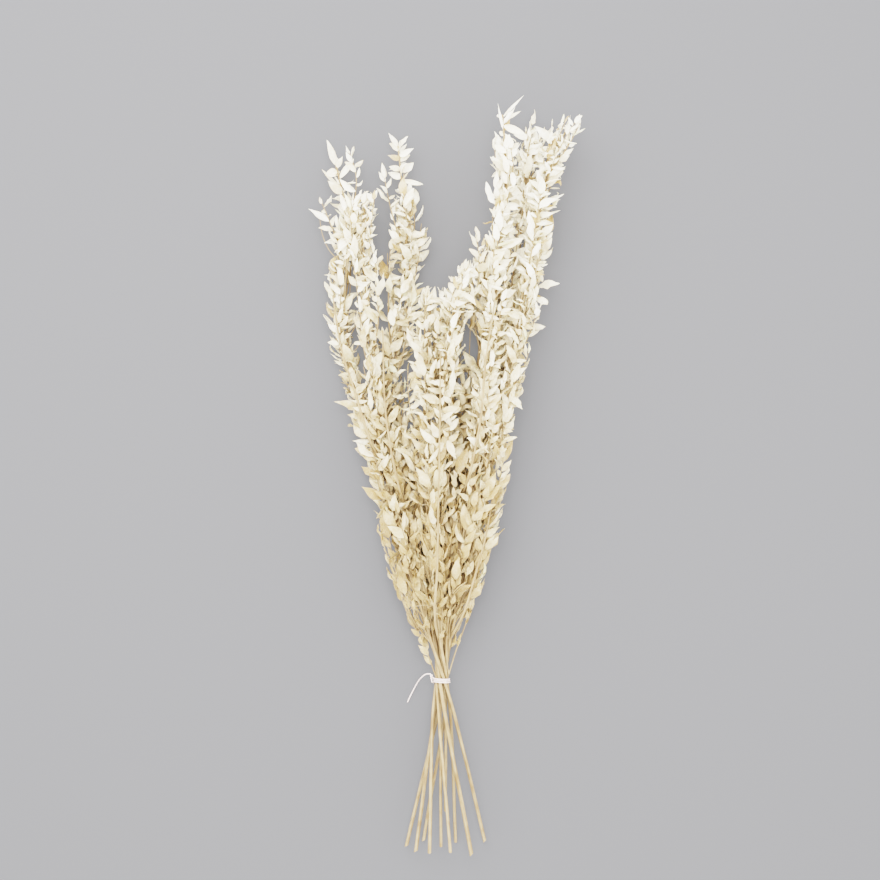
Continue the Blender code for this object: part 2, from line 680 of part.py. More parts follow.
def make_tie_band(stems, material):
    """The turns of string round the neck with the knot on the side where the tail leaves."""
    inner = neck_radius(stems) + STRING_CLEARANCE
    item = make_object("tie_band", band_shape(inner), material)
    knot = make_object("knot", ([], []))
    shape = bmesh.new()
    bmesh.ops.create_icosphere(shape, subdivisions=2, radius=KNOT_RADIUS * METRES)
    bmesh.ops.scale(shape, vec=KNOT_SHAPE, verts=shape.verts)
    bmesh.ops.translate(shape, vec=METRES * knot_centre(inner), verts=shape.verts)
    shape.to_mesh(knot.data)
    shape.free()
    join_to(item, [knot])
    return item


def smooth_route(points, every):
    """Points at even steps on a smooth curve through the points."""
    points = [Vector(point) for point in points]
    chord = [0.0]
    for a, b in zip(points, points[1:]):
        chord.append(chord[-1] + (b - a).length)
    at = np.linspace(0.0, chord[-1], round(chord[-1] / every) + 1)
    columns = [smooth_values(chord, [point[k] for point in points], at) for k in range(3)]
    return [Vector(place) for place in zip(*columns)]


def make_tie_tail(material):
    """The loose end of the string, from the knot down to the surface."""
    curve = bpy.data.curves.new("tie_tail", "CURVE")
    curve.dimensions = "3D"
    curve.bevel_depth = TAIL_RADIUS * METRES
    curve.bevel_resolution = 2
    curve.use_fill_caps = True
    points = smooth_route(TAIL_ROUTE, TAIL_POINT_EVERY)
    spline = curve.splines.new("POLY")
    spline.points.add(len(points) - 1)
    for place, point in zip(spline.points, points):
        point.z = max(point.z, TAIL_RADIUS)
        place.co = (*(METRES * point), 1.0)
    curve.materials.append(material)
    item = bpy.data.objects.new("tie_tail", curve)
    bpy.context.scene.collection.objects.link(item)
    return item


def move_to_origin(pieces, with_them):
    """Moves everything so that the origin is on the surface, under the middle of the pieces."""
    corners = [vertex.co for item in pieces for vertex in item.data.vertices]
    low = Vector([min(corner[k] for corner in corners) for k in range(3)])
    high = Vector([max(corner[k] for corner in corners) for k in range(3)])
    shift = Vector((-(low.x + high.x) / 2, -(low.y + high.y) / 2, -low.z))
    for item in pieces:
        item.data.transform(Matrix.Translation(shift))
    for item in with_them:
        item.data.transform(Matrix.Translation(shift))


def build():
    clear_scene()
    stems = [Stem(name, *facts) for name, facts in STEMS.items()]
    press_apart(stems)
    chains = [main_chain(stem) for stem in stems]
    for number, stem in enumerate(stems):
        grow_twigs(stem, chains, random.Random(TWIG_SEED + number))
    space = ClearSpace()
    for chain in chains:
        space.add(chain, chain.shape)
    leaves = grow_leaves(chains, space)
    ruscus = plain_material("bleached_ruscus", LEAF_COLOUR, LEAF_ROUGHNESS)
    string = plain_material("tie_string", STRING_COLOUR, STRING_ROUGHNESS)
    pieces = [make_leafy_stem(stem, chains, leaves, ruscus) for stem in stems]
    pieces.append(make_tie_band(stems, string))
    move_to_origin(pieces, [make_tie_tail(string)])


build()
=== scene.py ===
"""A tied bundle of bleached, dried ruscus, lying on its back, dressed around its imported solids.

Each leafy stem grows again by the solids' own rule and seeds, so its main stem, twigs and leaves lie where
the solid has them. Here they get their fine form, and more twigs and leaves fill the plumes between them.

Lengths are in millimetres until a mesh is made, which is in metres. While the bundle grows, the origin is on
the surface under the string, +Y runs from the cut ends to the leaf tips and +Z is up. The frame then tells
how far to move it.
"""

import math
import random
from itertools import combinations

import bpy
import numpy as np
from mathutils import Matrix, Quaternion, Vector
from mathutils.bvhtree import BVHTree


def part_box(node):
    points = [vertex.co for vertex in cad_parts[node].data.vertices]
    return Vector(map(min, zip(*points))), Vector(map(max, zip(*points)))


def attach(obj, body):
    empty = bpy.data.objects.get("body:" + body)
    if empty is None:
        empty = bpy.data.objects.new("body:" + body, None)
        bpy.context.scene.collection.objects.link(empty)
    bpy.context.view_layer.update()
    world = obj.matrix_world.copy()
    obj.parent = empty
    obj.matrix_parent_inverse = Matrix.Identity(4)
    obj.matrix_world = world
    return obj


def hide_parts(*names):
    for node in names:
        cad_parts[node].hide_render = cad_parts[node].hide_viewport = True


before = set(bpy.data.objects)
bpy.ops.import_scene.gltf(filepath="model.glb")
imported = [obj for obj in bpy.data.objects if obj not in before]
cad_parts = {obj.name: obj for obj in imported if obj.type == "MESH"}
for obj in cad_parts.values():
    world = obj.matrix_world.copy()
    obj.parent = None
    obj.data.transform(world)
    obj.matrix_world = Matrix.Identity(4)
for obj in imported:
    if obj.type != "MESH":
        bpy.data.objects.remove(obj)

BODY = "root"
METRES = 0.001

# The neck, where the string holds the stems: its height over the surface and the circle of the outer stems
NECK_HEIGHT = 24.0
NECK_CIRCLE = 5.0
CORE_OFFSET = 1.7

# Main stems
STEM_TIP_RADIUS = 0.85
STEM_END_BEFORE_TIP = 16.0
STEM_GAP = 0.45
LEAST_DISTANCE = 1e-6
STEM_SIDES = 5
LEVEL_STEP = 8.0
LOWEST_LEVEL = -176.0
HIGHEST_LEVEL = 584.0
RING_STEP_AT_NECK = 16.0
RING_STEP = 36.0
NECK_REACH = 56.0
RINGS_BELOW_NECK = 3
PRESSING_ROUNDS = 240
SETTLING_ROUNDS = 30

# Side twigs
TWIG_SEED = 120
FIRST_TWIG = 58.0
TWIG_EVERY = 60.0
TWIG_START_SPREAD = 6.0
TWIGS_TOWARDS_TIP = 0.85
TWIG_LENGTH = 104.0
TWIG_LENGTH_SPREAD = 0.15
TWIG_PAST_STEM_END = 8.0
SHORTEST_TWIG = 42.0
TWIG_RADII = (1.0, 0.8)
TWIG_SIDES = 3
TWIG_STEPS = 3
# A twig spreads, up to a share of its length, to a share of the leaves' reach there
TWIG_REACH = 0.8
TWIG_LEAST_REACH = 6.0
TWIG_SPREADS_UP_TO = 0.67
TWIG_TURN_DEG = 25.0
TWIG_GAP = 0.9
TWIG_ROOT_ZONE = 18.0
TWIG_SAMPLE_EVERY = 5.0
GOLDEN_ANGLE_DEG = 137.5
AZIMUTH_TRIES = 24

# Leaves
LEAF_SEED = 1100
BLADE_THICKNESS = 0.6
BLADE_GAP = 0.5
BLADE_OFF_CHAIN = 0.9
BLADE_CLEARS_CHAIN_AT = (0.45, 0.7, 1.0)
ROOT_DEPTH = 0.42
TIP_ROOT_DEPTH = 0.8
# A leaf's length at the neck and at the highest level
LEAF_LENGTHS = (27.0, 20.0)
LEAF_LENGTH_SPREAD = 0.2
LEAF_SLENDERNESS = (0.34, 0.46)
LEAF_EVERY_ON_TWIG = 14.5
LEAF_EVERY_ON_STEM = 28.0
FIRST_LEAF_ON_STEM = 62.0
FIRST_LEAF_ON_TWIG = 16.0
LEAF_PLACE_SPREAD = 0.15
LEAF_OPENING_DEG = (28.0, 72.0)
TIP_LEAF_OPENING_DEG = (0.0, 14.0)
HANGING_SHARE = 0.1
HANGING_OPENING_DEG = (95.0, 140.0)
LEAF_ASIDE = 0.2
FACE_UPWARDS = 0.5
FACE_SPREAD = 0.9
LEAST_OFF_AXIS = 1.0
LEAST_FACE_WAY = 0.1
LEAF_ARCH_DEG = (-42.0, 12.0)
LEAST_LEVEL_NORMAL = 0.7
LEAF_TRIES = 40
MOST_SHAPES = 20000
ENVELOPE_ALLOWANCE = 7.0
PAST_STEM_TIP = 2.0
# Rings of a blade as (share of its length, share of its width), for long leaves and for shorter ones
SHORT_LEAF = 23.0
LONG_BLADE = ((0.3, 0.94), (0.62, 0.84))
SHORT_BLADE = ((0.42, 1.0),)
# How many flat sides on the next leaf up grows, for a twig's three sides and a stem's five
SIDES_ROUND = {3: 1, 5: 2}

# The string
STRING_RADIUS = 0.8
STRING_TURNS = 3
STRING_CLEARANCE = 0.3
TURN_SIDES = 3
# How far behind the turns' middles the ring goes, in string radii
BAND_BACK = 1.2
KNOT_RADIUS = 2.3
KNOT_TURN_DEG = 172.0
KNOT_SHIFT = 4.0
TAIL_RADIUS = 0.7
TAIL_POINT_EVERY = 3.4
# The loose tail, from the knot to its end on the surface, as (across, along, height) from the string
TAIL_ROUTE = ((-11.7, 6.7, 24.4), (-15.5, 6.6, 23.4), (-19.5, 3.6, 18.5), (-23.5, -1.6, 10.5),
              (-26.8, -7.6, 3.8), (-30.0, -14.0, 0.7), (-33.2, -20.4, 0.7), (-35.2, -25.0, 0.7))

# Each stem has its radius at the cut end, its place in the neck, its cut end as (across, along, height), and
# its route above the string as (across, along, height, reach of its leaves), which ends at its last leaf.
# The place in the neck is an angle on the circle, or a side of the middle for the two stems in the core.
STEMS = {
    "ruscus_stem_01": (1.8, 67.5, (44.0, -165.0, 10.0), (
        (-12, 43, 33, 12), (-38, 133, 29, 19), (-62, 233, 24, 20), (-78, 283, 20, 17), (-98, 333, 17, 11),
        (-101, 383, 17, 12), (-99, 433, 18, 18), (-98, 483, 18, 22), (-112, 538, 20, 10))),
    "ruscus_stem_02": (2.1, 112.5, (30.0, -174.0, 34.0), (
        (-7, 43, 24, 10), (-27, 133, 27, 17), (-50, 233, 31, 18), (-65, 303, 32, 14), (-74, 383, 32, 14),
        (-80, 453, 33, 16), (-76, 493, 35, 10))),
    "ruscus_stem_03": (1.7, 157.5, (8.5, -169.0, 44.0), (
        (-6, 43, 17, 11), (-26, 133, 17, 18), (-54, 233, 17, 16), (-57, 283, 17, 15), (-43, 373, 18, 18),
        (-37, 433, 19, 20), (-39, 483, 19, 18), (-46, 557, 22, 10))),
    "ruscus_stem_04": (1.6, 1, (3.6, -131.0, 26.0), (
        (-3, 43, 30, 9), (-11, 133, 39, 15), (-16, 233, 46, 19), (-16, 303, 49, 21), (-12, 363, 50, 17),
        (-10, 395, 50, 10))),
    "ruscus_stem_05": (1.6, -1, (-1.0, -168.0, 20.0), (
        (-2, 43, 22, 9), (-5, 133, 17, 15), (-2, 233, 17, 17), (3, 303, 18, 19), (6, 363, 19, 17),
        (6, 397, 20, 10))),
    "ruscus_stem_06": (1.7, 22.5, (14.0, -167.0, 1.7), (
        (-2, 43, 36, 8), (-6, 133, 46, 13), (-3.5, 233, 54, 16), (-0.5, 293, 56, 16), (5, 333, 57, 15),
        (15, 383, 57, 16), (28, 421, 55, 10))),
    "ruscus_stem_07": (1.9, -157.5, (-12.6, -170.0, 42.0), (
        (3, 43, 14, 9), (13, 133, 15, 15), (23, 233, 19, 16), (32, 283, 23, 13), (39, 333, 26, 10),
        (42, 383, 28, 16), (49, 445, 30, 12))),
    "ruscus_stem_08": (1.7, -22.5, (-19.0, -166.0, 1.7), (
        (4, 43, 31, 9), (19, 133, 42, 15), (36, 233, 49, 15), (44, 283, 51, 13), (51, 333, 52, 11),
        (53, 383, 52, 13), (64, 483, 52, 16), (63, 533, 52, 13), (59, 583, 52, 9))),
    "ruscus_stem_09": (1.8, -67.5, (-36.4, -169.5, 12.0), (
        (8, 43, 27, 10), (31, 133, 38, 18), (49, 233, 43, 18), (69, 333, 46, 17), (90, 433, 48, 16),
        (101, 483, 48, 17), (114, 533, 47, 15), (132, 567, 46, 10))),
    "ruscus_stem_10": (1.9, -112.5, (-26.6, -171.0, 32.0), (
        (6, 43, 19, 10), (22, 133, 16, 16), (41, 233, 16, 16), (61, 333, 16, 16), (78, 433, 16, 18),
        (91, 533, 16, 14), (99, 560, 17, 10))),
}

# Leaves set one by one on the three tips that stand clear. Each has its level on the stem, the place of its
# tip as (across, along, height), and its width. From a level a little lower the stem has no others, and
# further down its twigs end.
SET_LEAVES = {
    "ruscus_stem_01": (
        (521, (-115.6, 546.6, 26), 7), (519, (-101, 530, 24), 6), (515, (-118, 511, 24), 9),
        (508, (-89.4, 528, 20), 6), (498, (-123.4, 516.6, 13), 4), (493, (-116.3, 503.7, 24), 9)),
    "ruscus_stem_03": (
        (540, (-53.7, 553.4, 25), 5.7), (539, (-35.1, 550.9, 23), 5), (535, (-53, 544.4, 17), 6),
        (534, (-34.9, 543, 17), 4), (530, (-29.1, 539.1, 23), 6.5), (527, (-54.9, 530.1, 25), 6.5),
        (525, (-32, 532.3, 16), 5), (517, (-53.4, 518.7, 25), 6), (515, (-28.4, 523, 24), 9),
        (508, (-54.9, 515.1, 15), 8), (506, (-19.1, 500.9, 21), 5)),
    "ruscus_stem_08": (
        (565, (81.1, 586.6, 54), 3), (562, (79, 570.9, 48), 4), (556, (83, 548.7, 55), 9),
        (552, (54, 577.3, 56), 3), (509, (48, 525.1, 55), 7), (472, (48, 484.4, 54), 5)),
}
SET_LEAVES_SEED = 70
NO_OTHERS_ABOVE = {"ruscus_stem_01": 486.0, "ruscus_stem_03": 500.0, "ruscus_stem_08": 545.0}
TWIGS_END_LOWER = 20.0
SET_LEAF_TILT = 0.35
SET_LEAF_ARCH_DEG = (-16.0, 8.0)

# Fine twigs, which the solids leave out. How far they stand off is a share of the leaves' reach.
FINE_TWIG_SEED = 300
FINE_TWIG_EVERY = 15.0
FINE_TWIG_PLACE_SPREAD = 0.3
MORE_TWIGS_LOW = 1.3
FIRST_FINE_TWIG = 26.0
FINE_TWIG_LENGTH = (56.0, 130.0)
FINE_TWIG_RADII = (0.72, 0.3)
FINE_TWIG_STEPS = 5
FINE_TWIG_REACH = (0.35, 1.1)
FINE_TWIG_TURN_DEG = 38.0
FINE_TWIG_TRIES = 10
FINE_TWIG_LIFT = 0.5

# Leaves that the solids leave out, on the same twigs and on the fine ones
MORE_LEAVES_SEED = 900
MORE_EVERY_ON_FINE = 5.0
MORE_EVERY_ON_TWIG = 5.0
MORE_EVERY_ON_STEM = 5.0
MORE_FIRST = 9.0
MORE_FIRST_ON_STEM = 40.0
MORE_PLACE_SPREAD = 0.2
MORE_SIZE = (0.45, 1.05)
MORE_SIZE_AT_NECK = 0.55
NECK_LEAVES_UP_TO = 110.0
MORE_TRIES = 24
MORE_GAP = 0.05
MORE_DEEPEST = -2.5
MORE_ROOT_PART = 3
RANK_SPREAD_DEG = 75.0
RANK_FACE_SPREAD = 0.9
# How far those leaves open from their twig: pressed to it low in the bundle, and spreading high up
PRESSED_OPENING_DEG = (2.0, 30.0)
SPREAD_OPENING_DEG = (12.0, 95.0)
PRESSED_BELOW = 120.0
SPREAD_FROM = 320.0
LEAFLESS_SHARE_AT_NECK = 0.7
LEAFLESS_BELOW = 230.0

# Sprigs set one by one where the plumes stand out or close up: the number of the stem that each grows from,
# and its points as (across, along, height)
SPRIGS = (
    (3, ((-50, 170, 20), (-44, 230, 24), (-38, 295, 26))),
    (4, ((-30, 160, 28), (-33, 210, 32), (-36, 262, 32))),
    (4, ((-20, 150, 34), (-27, 190, 38), (-30, 240, 38))),
    (5, ((22, 190, 26), (22, 240, 30), (21, 300, 32))),
    (7, ((10, 200, 30), (18, 250, 34), (26, 296, 38))),
    (7, ((8, 120, 38), (12, 170, 44), (15, 215, 48))),
    (5, ((10, 85, 34), (15, 130, 40), (21, 178, 44))),
    (1, ((-66, 200, 24), (-82, 250, 24), (-92, 303, 20))),
    (1, ((-30, 60, 28), (-48, 110, 28), (-60, 170, 26), (-73, 228, 22))),
    (2, ((-4.5, 4, 27), (-14, 30, 30), (-23, 50, 30), (-38, 80, 30), (-52, 122, 28))),
    (9, ((26, 80, 32), (40, 130, 38), (54, 190, 42), (63, 246, 44))),
    (9, ((4.5, 4, 26), (13, 32, 28), (21, 54, 30), (33, 92, 32), (47, 145, 34))),
    (1, ((-94, 440, 20), (-90, 480, 24), (-87, 512, 26), (-94, 534, 26))),
    (1, ((-104, 440, 18), (-113, 464, 20), (-121, 484, 18))),
    (10, ((78, 340, 30), (90, 375, 34), (97, 402, 32))),
    (10, ((91, 515, 22), (87, 542, 26), (92, 562, 26))),
    (9, ((107, 510, 42), (112, 534, 42), (112, 552, 40))),
    (6, ((34, 392, 50), (37, 422, 52), (35, 442, 50))),
    (3, ((-34, 368, 22), (-25, 410, 24), (-18, 450, 24))),
    (3, ((-44, 440, 22), (-54, 478, 24), (-60, 508, 22))),
    (9, ((98, 452, 44), (105, 472, 42), (111, 480, 40))),
)
# Curls: thin, wiry twigs with no leaves
CURLS = (
    (2, ((-46, 112, 32), (-43, 93, 38), (-36, 73, 41), (-27, 54.7, 41), (-17, 43.8, 38), (-13, 45.5, 38),
         (-11.7, 56.3, 39))),
    (2, ((-34, 66, 36), (-30.3, 75.5, 40), (-22, 78, 43), (-13.7, 78.8, 44), (-6.2, 74.7, 44),
         (-4.5, 81.3, 45), (-7, 91.3, 45))),
    (1, ((-84, 362, 22), (-83, 345, 24), (-90.3, 331.3, 25), (-102, 336.3, 24), (-109, 345, 22))),
    (1, ((-98, 420, 22), (-112, 432, 24), (-121, 452, 22), (-124, 470, 18))),
)
# Runners: thicker bare twigs that run over the leaves
RUNNERS = (
    (4, ((-7.5, 62, 44), (-5.5, 120, 58), (-4, 194, 66), (-3, 265, 68), (-2, 335, 64))),
    (7, ((26, 204, 52), (38, 262, 62), (43.5, 321, 64), (53, 383, 58))),
    (1, ((-68, 239, 38), (-84, 289, 44), (-97.5, 330, 43), (-108, 389, 38))),
    (2, ((-43, 194, 48), (-56.5, 267, 54), (-59, 312, 52), (-60, 352, 46))),
    (9, ((22, 67, 41), (36, 112, 45), (48, 160, 46), (54, 200, 42))),
)
# Open air between the plumes, where no more leaves grow: a line between two points (across, along), and how
# far the gap reaches either side of it
GAPS = (
    ((-59, 352), (-60, 486), 5.0),
    ((-93, 380), (-94, 416), 6.0),
    ((-80, 300), (-80, 334), 4.0),
    ((31, 322), (31, 350), 6.5),
    ((47, 466), (46, 500), 5.0),
    ((-23, 462), (-24, 490), 5.0),
)
GAP_LEAF_SHARES = (0.1, 0.5, 1.0)
SPRIG_SEED = 500
SPRIG_ROOT_BACK = 24.0
SPRIG_SHIFT = 2.0
SPRIG_TRIES = 12
# Each kind of them: its twigs, their radii, how far apart their points are, and how much higher each try is
SPRIG_KINDS = (
    (SPRIGS, FINE_TWIG_RADII, 9.0, 0.0),
    (CURLS, (0.5, 0.25), 4.0, 0.0),
    (RUNNERS, (1.35, 0.6), 9.0, 1.2),
)

# The blade's fine form. Stations are shares of its length and columns are shares of its half width.
STATIONS = (0.0, 0.06, 0.18, 0.32, 0.46, 0.6, 0.74, 0.88, 1.0)
COLUMNS = (-1.0, -0.5, 0.0, 0.5, 1.0)
UNDER_COLUMNS = (0.5, 0.0, -0.5)
WIDEST_AT = (0.33, 0.44)
SHOULDER = (0.62, 0.85)
STALK_HALF_WIDTH = 0.3
TIP_HALF_WIDTH = 0.06
FINE_THICKNESS = 0.32
RESTING_HEIGHT = 0.3
RESTING_SOFTNESS = 0.9
TWIST_DEG = 45.0
WRUNG_TWIST_DEG = 170.0
WRUNG_SHARE = 0.2
ROLL_DEG = (-25.0, 60.0)
ROLLED_DEG = 165.0
ROLLED_SHARE = 0.22
LEAST_ROLL = 0.01
FOLD = (0.0, 0.3)
TIP_CURL_DEG = (-70.0, 45.0)
TIP_CURL_FROM = 0.55
TIP_CURL_OVER = 0.45
SIDE_BOW_DEG = 28.0
WAVE = 0.16
CRUMPLE = 0.16
SET_LEAVES_BEND = 0.35
WAVES_ALONG = (1.0, 2.4)
WAVE_SIDES_APART = 0.7
SHARP_DEG = 50.0

# How tan, white and green the leaves are, from the neck to the tips and from the surface up. Part of it is
# painted light and shade: painted shade on leaves low near the surface and inside the plumes, and painted
# light that falls off from the tips towards the neck, on top of the leaves' own colour.
TOP_OF_PLUMES = 70.0
# Tanner towards the neck: partly the leaves' own colour, partly painted shade where the light falls off
# towards the neck
TAN_AND_SHADE_AT_NECK = 1.3
TAN_AND_SHADE_FADES = 1.5
# Painted shade: leaves low near the surface, under the others, are made tanner
PAINTED_SHADE_WHEN_LOW = 0.2
# Partly own colour, partly painted shade: leaves near their stem's axis, inside the plume, are made tanner
TAN_AND_SHADE_INSIDE = 0.28
TAN_SPREAD = 0.5
TAN_LEAVES = 0.05
TAN_LEAF_TONE = 0.95
# Whiter towards the tips: partly the leaves' own bleaching, partly painted light
WHITE_AND_LIGHT_AT_NECK = 0.1
WHITE_AND_LIGHT_AT_TIPS = 0.75
WHITE_SPREAD = 0.5
GREEN_LEAVES = 0.03
GREEN_LEAF_TONE = 0.9
GREEN_TINGE = 0.12

# The wood's fine form
STEM_RING_EVERY = 4.0
STEM_RING_SIDES = 10
TWIG_RING_EVERY = 3.0
TWIG_RING_SIDES = 6
FINE_STEM_SHARE = 0.94
STEM_SAMPLES = 40
LEAST_WOOD_STEPS = 4
SOLID_TWIG_RADII = (0.85, 0.4)
ROUNDING_PASSES = 3
NODE_SWELLING = 0.2
NODE_HALF_LENGTH = 2.2
CUT_SLANT = 0.7
WOOD_WAVER = 0.22
WOOD_WAVER_EVERY = 23.0

# The string: its plies, how it lies on the stems, and the knot
PLIES = 3
PLY_DEPTH = 0.3
PLY_PITCH = 4.6
STRING_SIDES = 15
STRING_RING_EVERY = 0.5
STRING_ON_STEMS = 0.05
TURN_RADIUS = 0.74
WINDING_PITCH = 1.55
TURN_POINTS = 120
LEAD_IN = ((10.4, 2.6), (10.5, 0.4), (10.2, -1.4))
KNOT_SCALE = 0.6
KNOT_RISE = 0.8
KNOT_STRING_RADIUS = 0.66
KNOT_POINTS = 90
STUB_PAST = 0.6

# The scene: the camera looks straight down on the bundle
PHOTO_SIDE_PX = 880
MM_PER_PX = 1.0
CAMERA_DISTANCE = 2000.0
FOCUS_HEIGHT = 45.0
VIEW_CENTRE = (-2.0, 243.0)
SENSOR_WIDTH = 36.0
CAMERA_SEES_TO = 20.0
FLOOR_SIZE = 8.0

# Colours as they look on a screen
IVORY = (241, 224, 184)
WHITE_AND_LIGHT = (252, 245, 224)
TAN_AND_SHADE = (156, 127, 86)
PALE_GREEN = (224, 222, 178)
RIM = (206, 176, 128)
VEIN = (232, 214, 176)
WOOD_PALE = (152, 132, 101)
WOOD_DARK = (118, 93, 61)
PITH = (246, 238, 216)
STRING_PALE = (226, 214, 207)
STRING_SHADE = (184, 152, 144)
FLOOR_COLOUR = (73, 73, 75)

# Surfaces: roughness, how light scatters, the size of patches and streaks, where colours begin and are full,
# and the depth of relief
LEAF_ROUGHNESS = 0.55
LEAF_SCATTER = 0.3
SCATTER_RADIUS = (1.0, 0.85, 0.6)
SCATTER_SCALE = 0.002
WOOD_ROUGHNESS = 0.6
STRING_ROUGHNESS = 0.85
FLOOR_ROUGHNESS = 0.9
FLOOR_GLOW = 0.09
PATCH_SCALE = 90.0
MOTTLE_SCALE = 520.0
VEINS = 4.0
VEIN_SHOWS = 0.3
VEIN_RANGE = (0.35, 1.0)
VEIN_HEIGHT = 0.5
MOTTLE_SHARE = 0.4
PATCH_MIDDLE = 0.5
TAN_SHIFT = 0.2
RIM_POWER = 9.0
TIP_POWER = 11.0
RIM_PATCHES = (0.45, 0.75)
RIM_LEAVES = (0.3, 0.9)
STREAK_SHARE = 1.3
STREAK_SHIFT = 0.75
STREAK_RANGE = (0.1, 0.9)
PITH_RANGE = (0.6, 0.15)
PLY_SHADE_RANGE = (0.35, 0.75)
STREAK_STRETCH = (1.3, 1.3, 26.0)
FIBRE_STRETCH = (7.0, 7.0, 60.0)
STRING_STRETCH = (3.0, 3.0, 900.0)
LEAF_RELIEF = 0.0002
WOOD_RELIEF = 0.00015
STRING_RELIEF = 0.0002
BUMP_STRENGTH = 0.5
FORM_SEED = 40

# Each light's place, size and power, in metres and watts, and the point that they all face
LIGHTS = {
    "key": ((-0.4, 0.85, 1.25), 1.0, 12.0),
    "fill": ((0.05, 0.2, 1.9), 0.9, 20.0),
}
LIGHTS_AIM = (0.0, 0.05, 0.03)
# The sky's strength at the horizon and straight up
SKY_STRENGTH = (2.4, 0.8)
VIEW_TRANSFORM = "Filmic"
VIEW_LOOK = "Very High Contrast"
EXPOSURE = 0.7


def clamped(share):
    """The share, kept between 0 and 1."""
    return min(1.0, max(0.0, share))


def blend(pair, share):
    """The value at a share of the way from the first of the pair to the second."""
    low, high = pair
    return low + (high - low) * share


def varied(value, spread, rng):
    """The value, changed at random by up to a share of itself."""
    return value * (1.0 + rng.uniform(-spread, spread))


def drawn_angle(limits_deg, rng):
    """A random angle between two limits in degrees."""
    return math.radians(rng.uniform(*limits_deg))


def drawn_shift(most, rng):
    """A random vector, each of its parts up to the most either way."""
    return Vector([rng.uniform(-most, most) for _ in range(3)])


def square_to(way, vector):
    """What is left of the vector without its part along a unit direction."""
    return vector - way * vector.dot(way)


def outward(azimuth):
    """The unit vector square to the bundle's length, at an angle from +X towards +Z."""
    return Vector((math.cos(azimuth), 0.0, math.sin(azimuth)))


def smooth_values(knots, values, at):
    """Values at the places in at, on a smooth curve through the values at the knots."""
    knots, values = np.asarray(knots, float), np.asarray(values, float)
    gaps = np.diff(knots)
    slopes = np.diff(values) / gaps
    inner = (slopes[1:] * gaps[:-1] + slopes[:-1] * gaps[1:]) / (gaps[1:] + gaps[:-1])
    tangents = np.concatenate(([slopes[0]], inner, [slopes[-1]]))
    part = np.clip(np.searchsorted(knots, at, side="right") - 1, 0, len(gaps) - 1)
    u = (at - knots[part]) / gaps[part]
    start = values[part] * (1 + 2 * u) * (1 - u) ** 2 + tangents[part] * gaps[part] * u * (1 - u) ** 2
    end = values[part + 1] * u * u * (3 - 2 * u) - tangents[part + 1] * gaps[part] * u * u * (1 - u)
    return start + end


class Stem:
    """A main stem: where its axis runs, how thick it is and how far its leaves reach, at any level."""

    levels = np.arange(LOWEST_LEVEL, HIGHEST_LEVEL, LEVEL_STEP)

    def __init__(self, name, radius, place, cut_end, route):
        self.name = name
        self.cut_radius = radius
        self.start = cut_end[1]
        self.tip = route[-1][1]
        self.end = self.tip - STEM_END_BEFORE_TIP
        self.leafy_to = NO_OTHERS_ABOVE.get(name, self.end)
        self.twigs_to = self.leafy_to - TWIGS_END_LOWER if name in NO_OTHERS_ABOVE else self.end
        neck = self.neck_place(place)
        knots = [cut_end[1], 0.0] + [point[1] for point in route]
        across = [cut_end[0], neck.x] + [point[0] for point in route]
        height = [cut_end[2], neck.z] + [point[2] for point in route]
        at = np.clip(self.levels, knots[0], knots[-1])
        self.places = np.stack([smooth_values(knots, across, at), smooth_values(knots, height, at)], axis=1)
        self.reach_knots = [point[1] for point in route]
        self.reaches = [point[3] for point in route]
        self.radii = np.array([self.radius_at(level) for level in self.levels])

    @staticmethod
    def neck_place(place):
        if abs(place) == 1:
            return Vector((place * CORE_OFFSET, 0.0, NECK_HEIGHT))
        return Vector((0.0, 0.0, NECK_HEIGHT)) + NECK_CIRCLE * outward(math.radians(place))

    def radius_at(self, along):
        return blend((self.cut_radius, STEM_TIP_RADIUS), clamped(along / self.tip))

    def reach_at(self, along):
        return float(np.interp(along, self.reach_knots, self.reaches))

    def at(self, along):
        across = float(np.interp(along, self.levels, self.places[:, 0]))
        height = float(np.interp(along, self.levels, self.places[:, 1]))
        return Vector((across, along, height))


def press_apart(stems):
    """Moves the stems' axes sideways, level by level, until no two stems touch."""
    first = [stem.places.copy() for stem in stems]
    for round_number in range(PRESSING_ROUNDS + SETTLING_ROUNDS):
        for a, b in combinations(stems, 2):
            apart = b.places - a.places
            distance = np.maximum(np.linalg.norm(apart, axis=1, keepdims=True), LEAST_DISTANCE)
            lack = np.maximum(0.0, (a.radii + b.radii + STEM_GAP)[:, None] - distance)
            a.places -= apart / distance * lack / 2
            b.places += apart / distance * lack / 2
        for stem, start in zip(stems, first):
            if round_number < PRESSING_ROUNDS:
                moved = stem.places - start
                moved[1:-1] = 0.5 * moved[1:-1] + 0.25 * (moved[:-2] + moved[2:])
                stem.places = start + moved
            stem.places[:, 1] = np.maximum(stem.places[:, 1], stem.radii)


def ring_levels(stem):
    """The levels at which a stem has a ring of points, closer together about the neck."""
    below = np.linspace(stem.start, -NECK_REACH, RINGS_BELOW_NECK + 1)[:-1]
    middle = np.arange(-NECK_REACH, NECK_REACH, RING_STEP_AT_NECK)
    above = np.linspace(NECK_REACH, stem.end, round((stem.end - NECK_REACH) / RING_STEP) + 1)
    return [float(level) for level in (*below, *middle, *above)]


def tube_shape(points, radii, sides, turn):
    """Points and faces of a closed tube through the points, its rings square to the bundle's length."""
    verts, faces = [], []
    for point, radius in zip(points, radii):
        verts += [point + radius * outward(turn + 2 * math.pi * k / sides) for k in range(sides)]
    for ring in range(len(points) - 1):
        for k in range(sides):
            a, b = ring * sides + k, ring * sides + (k + 1) % sides
            faces.append((a, a + sides, b + sides, b))
    last = (len(points) - 1) * sides
    faces += [tuple(range(sides)), tuple(last + k for k in reversed(range(sides)))]
    return verts, faces


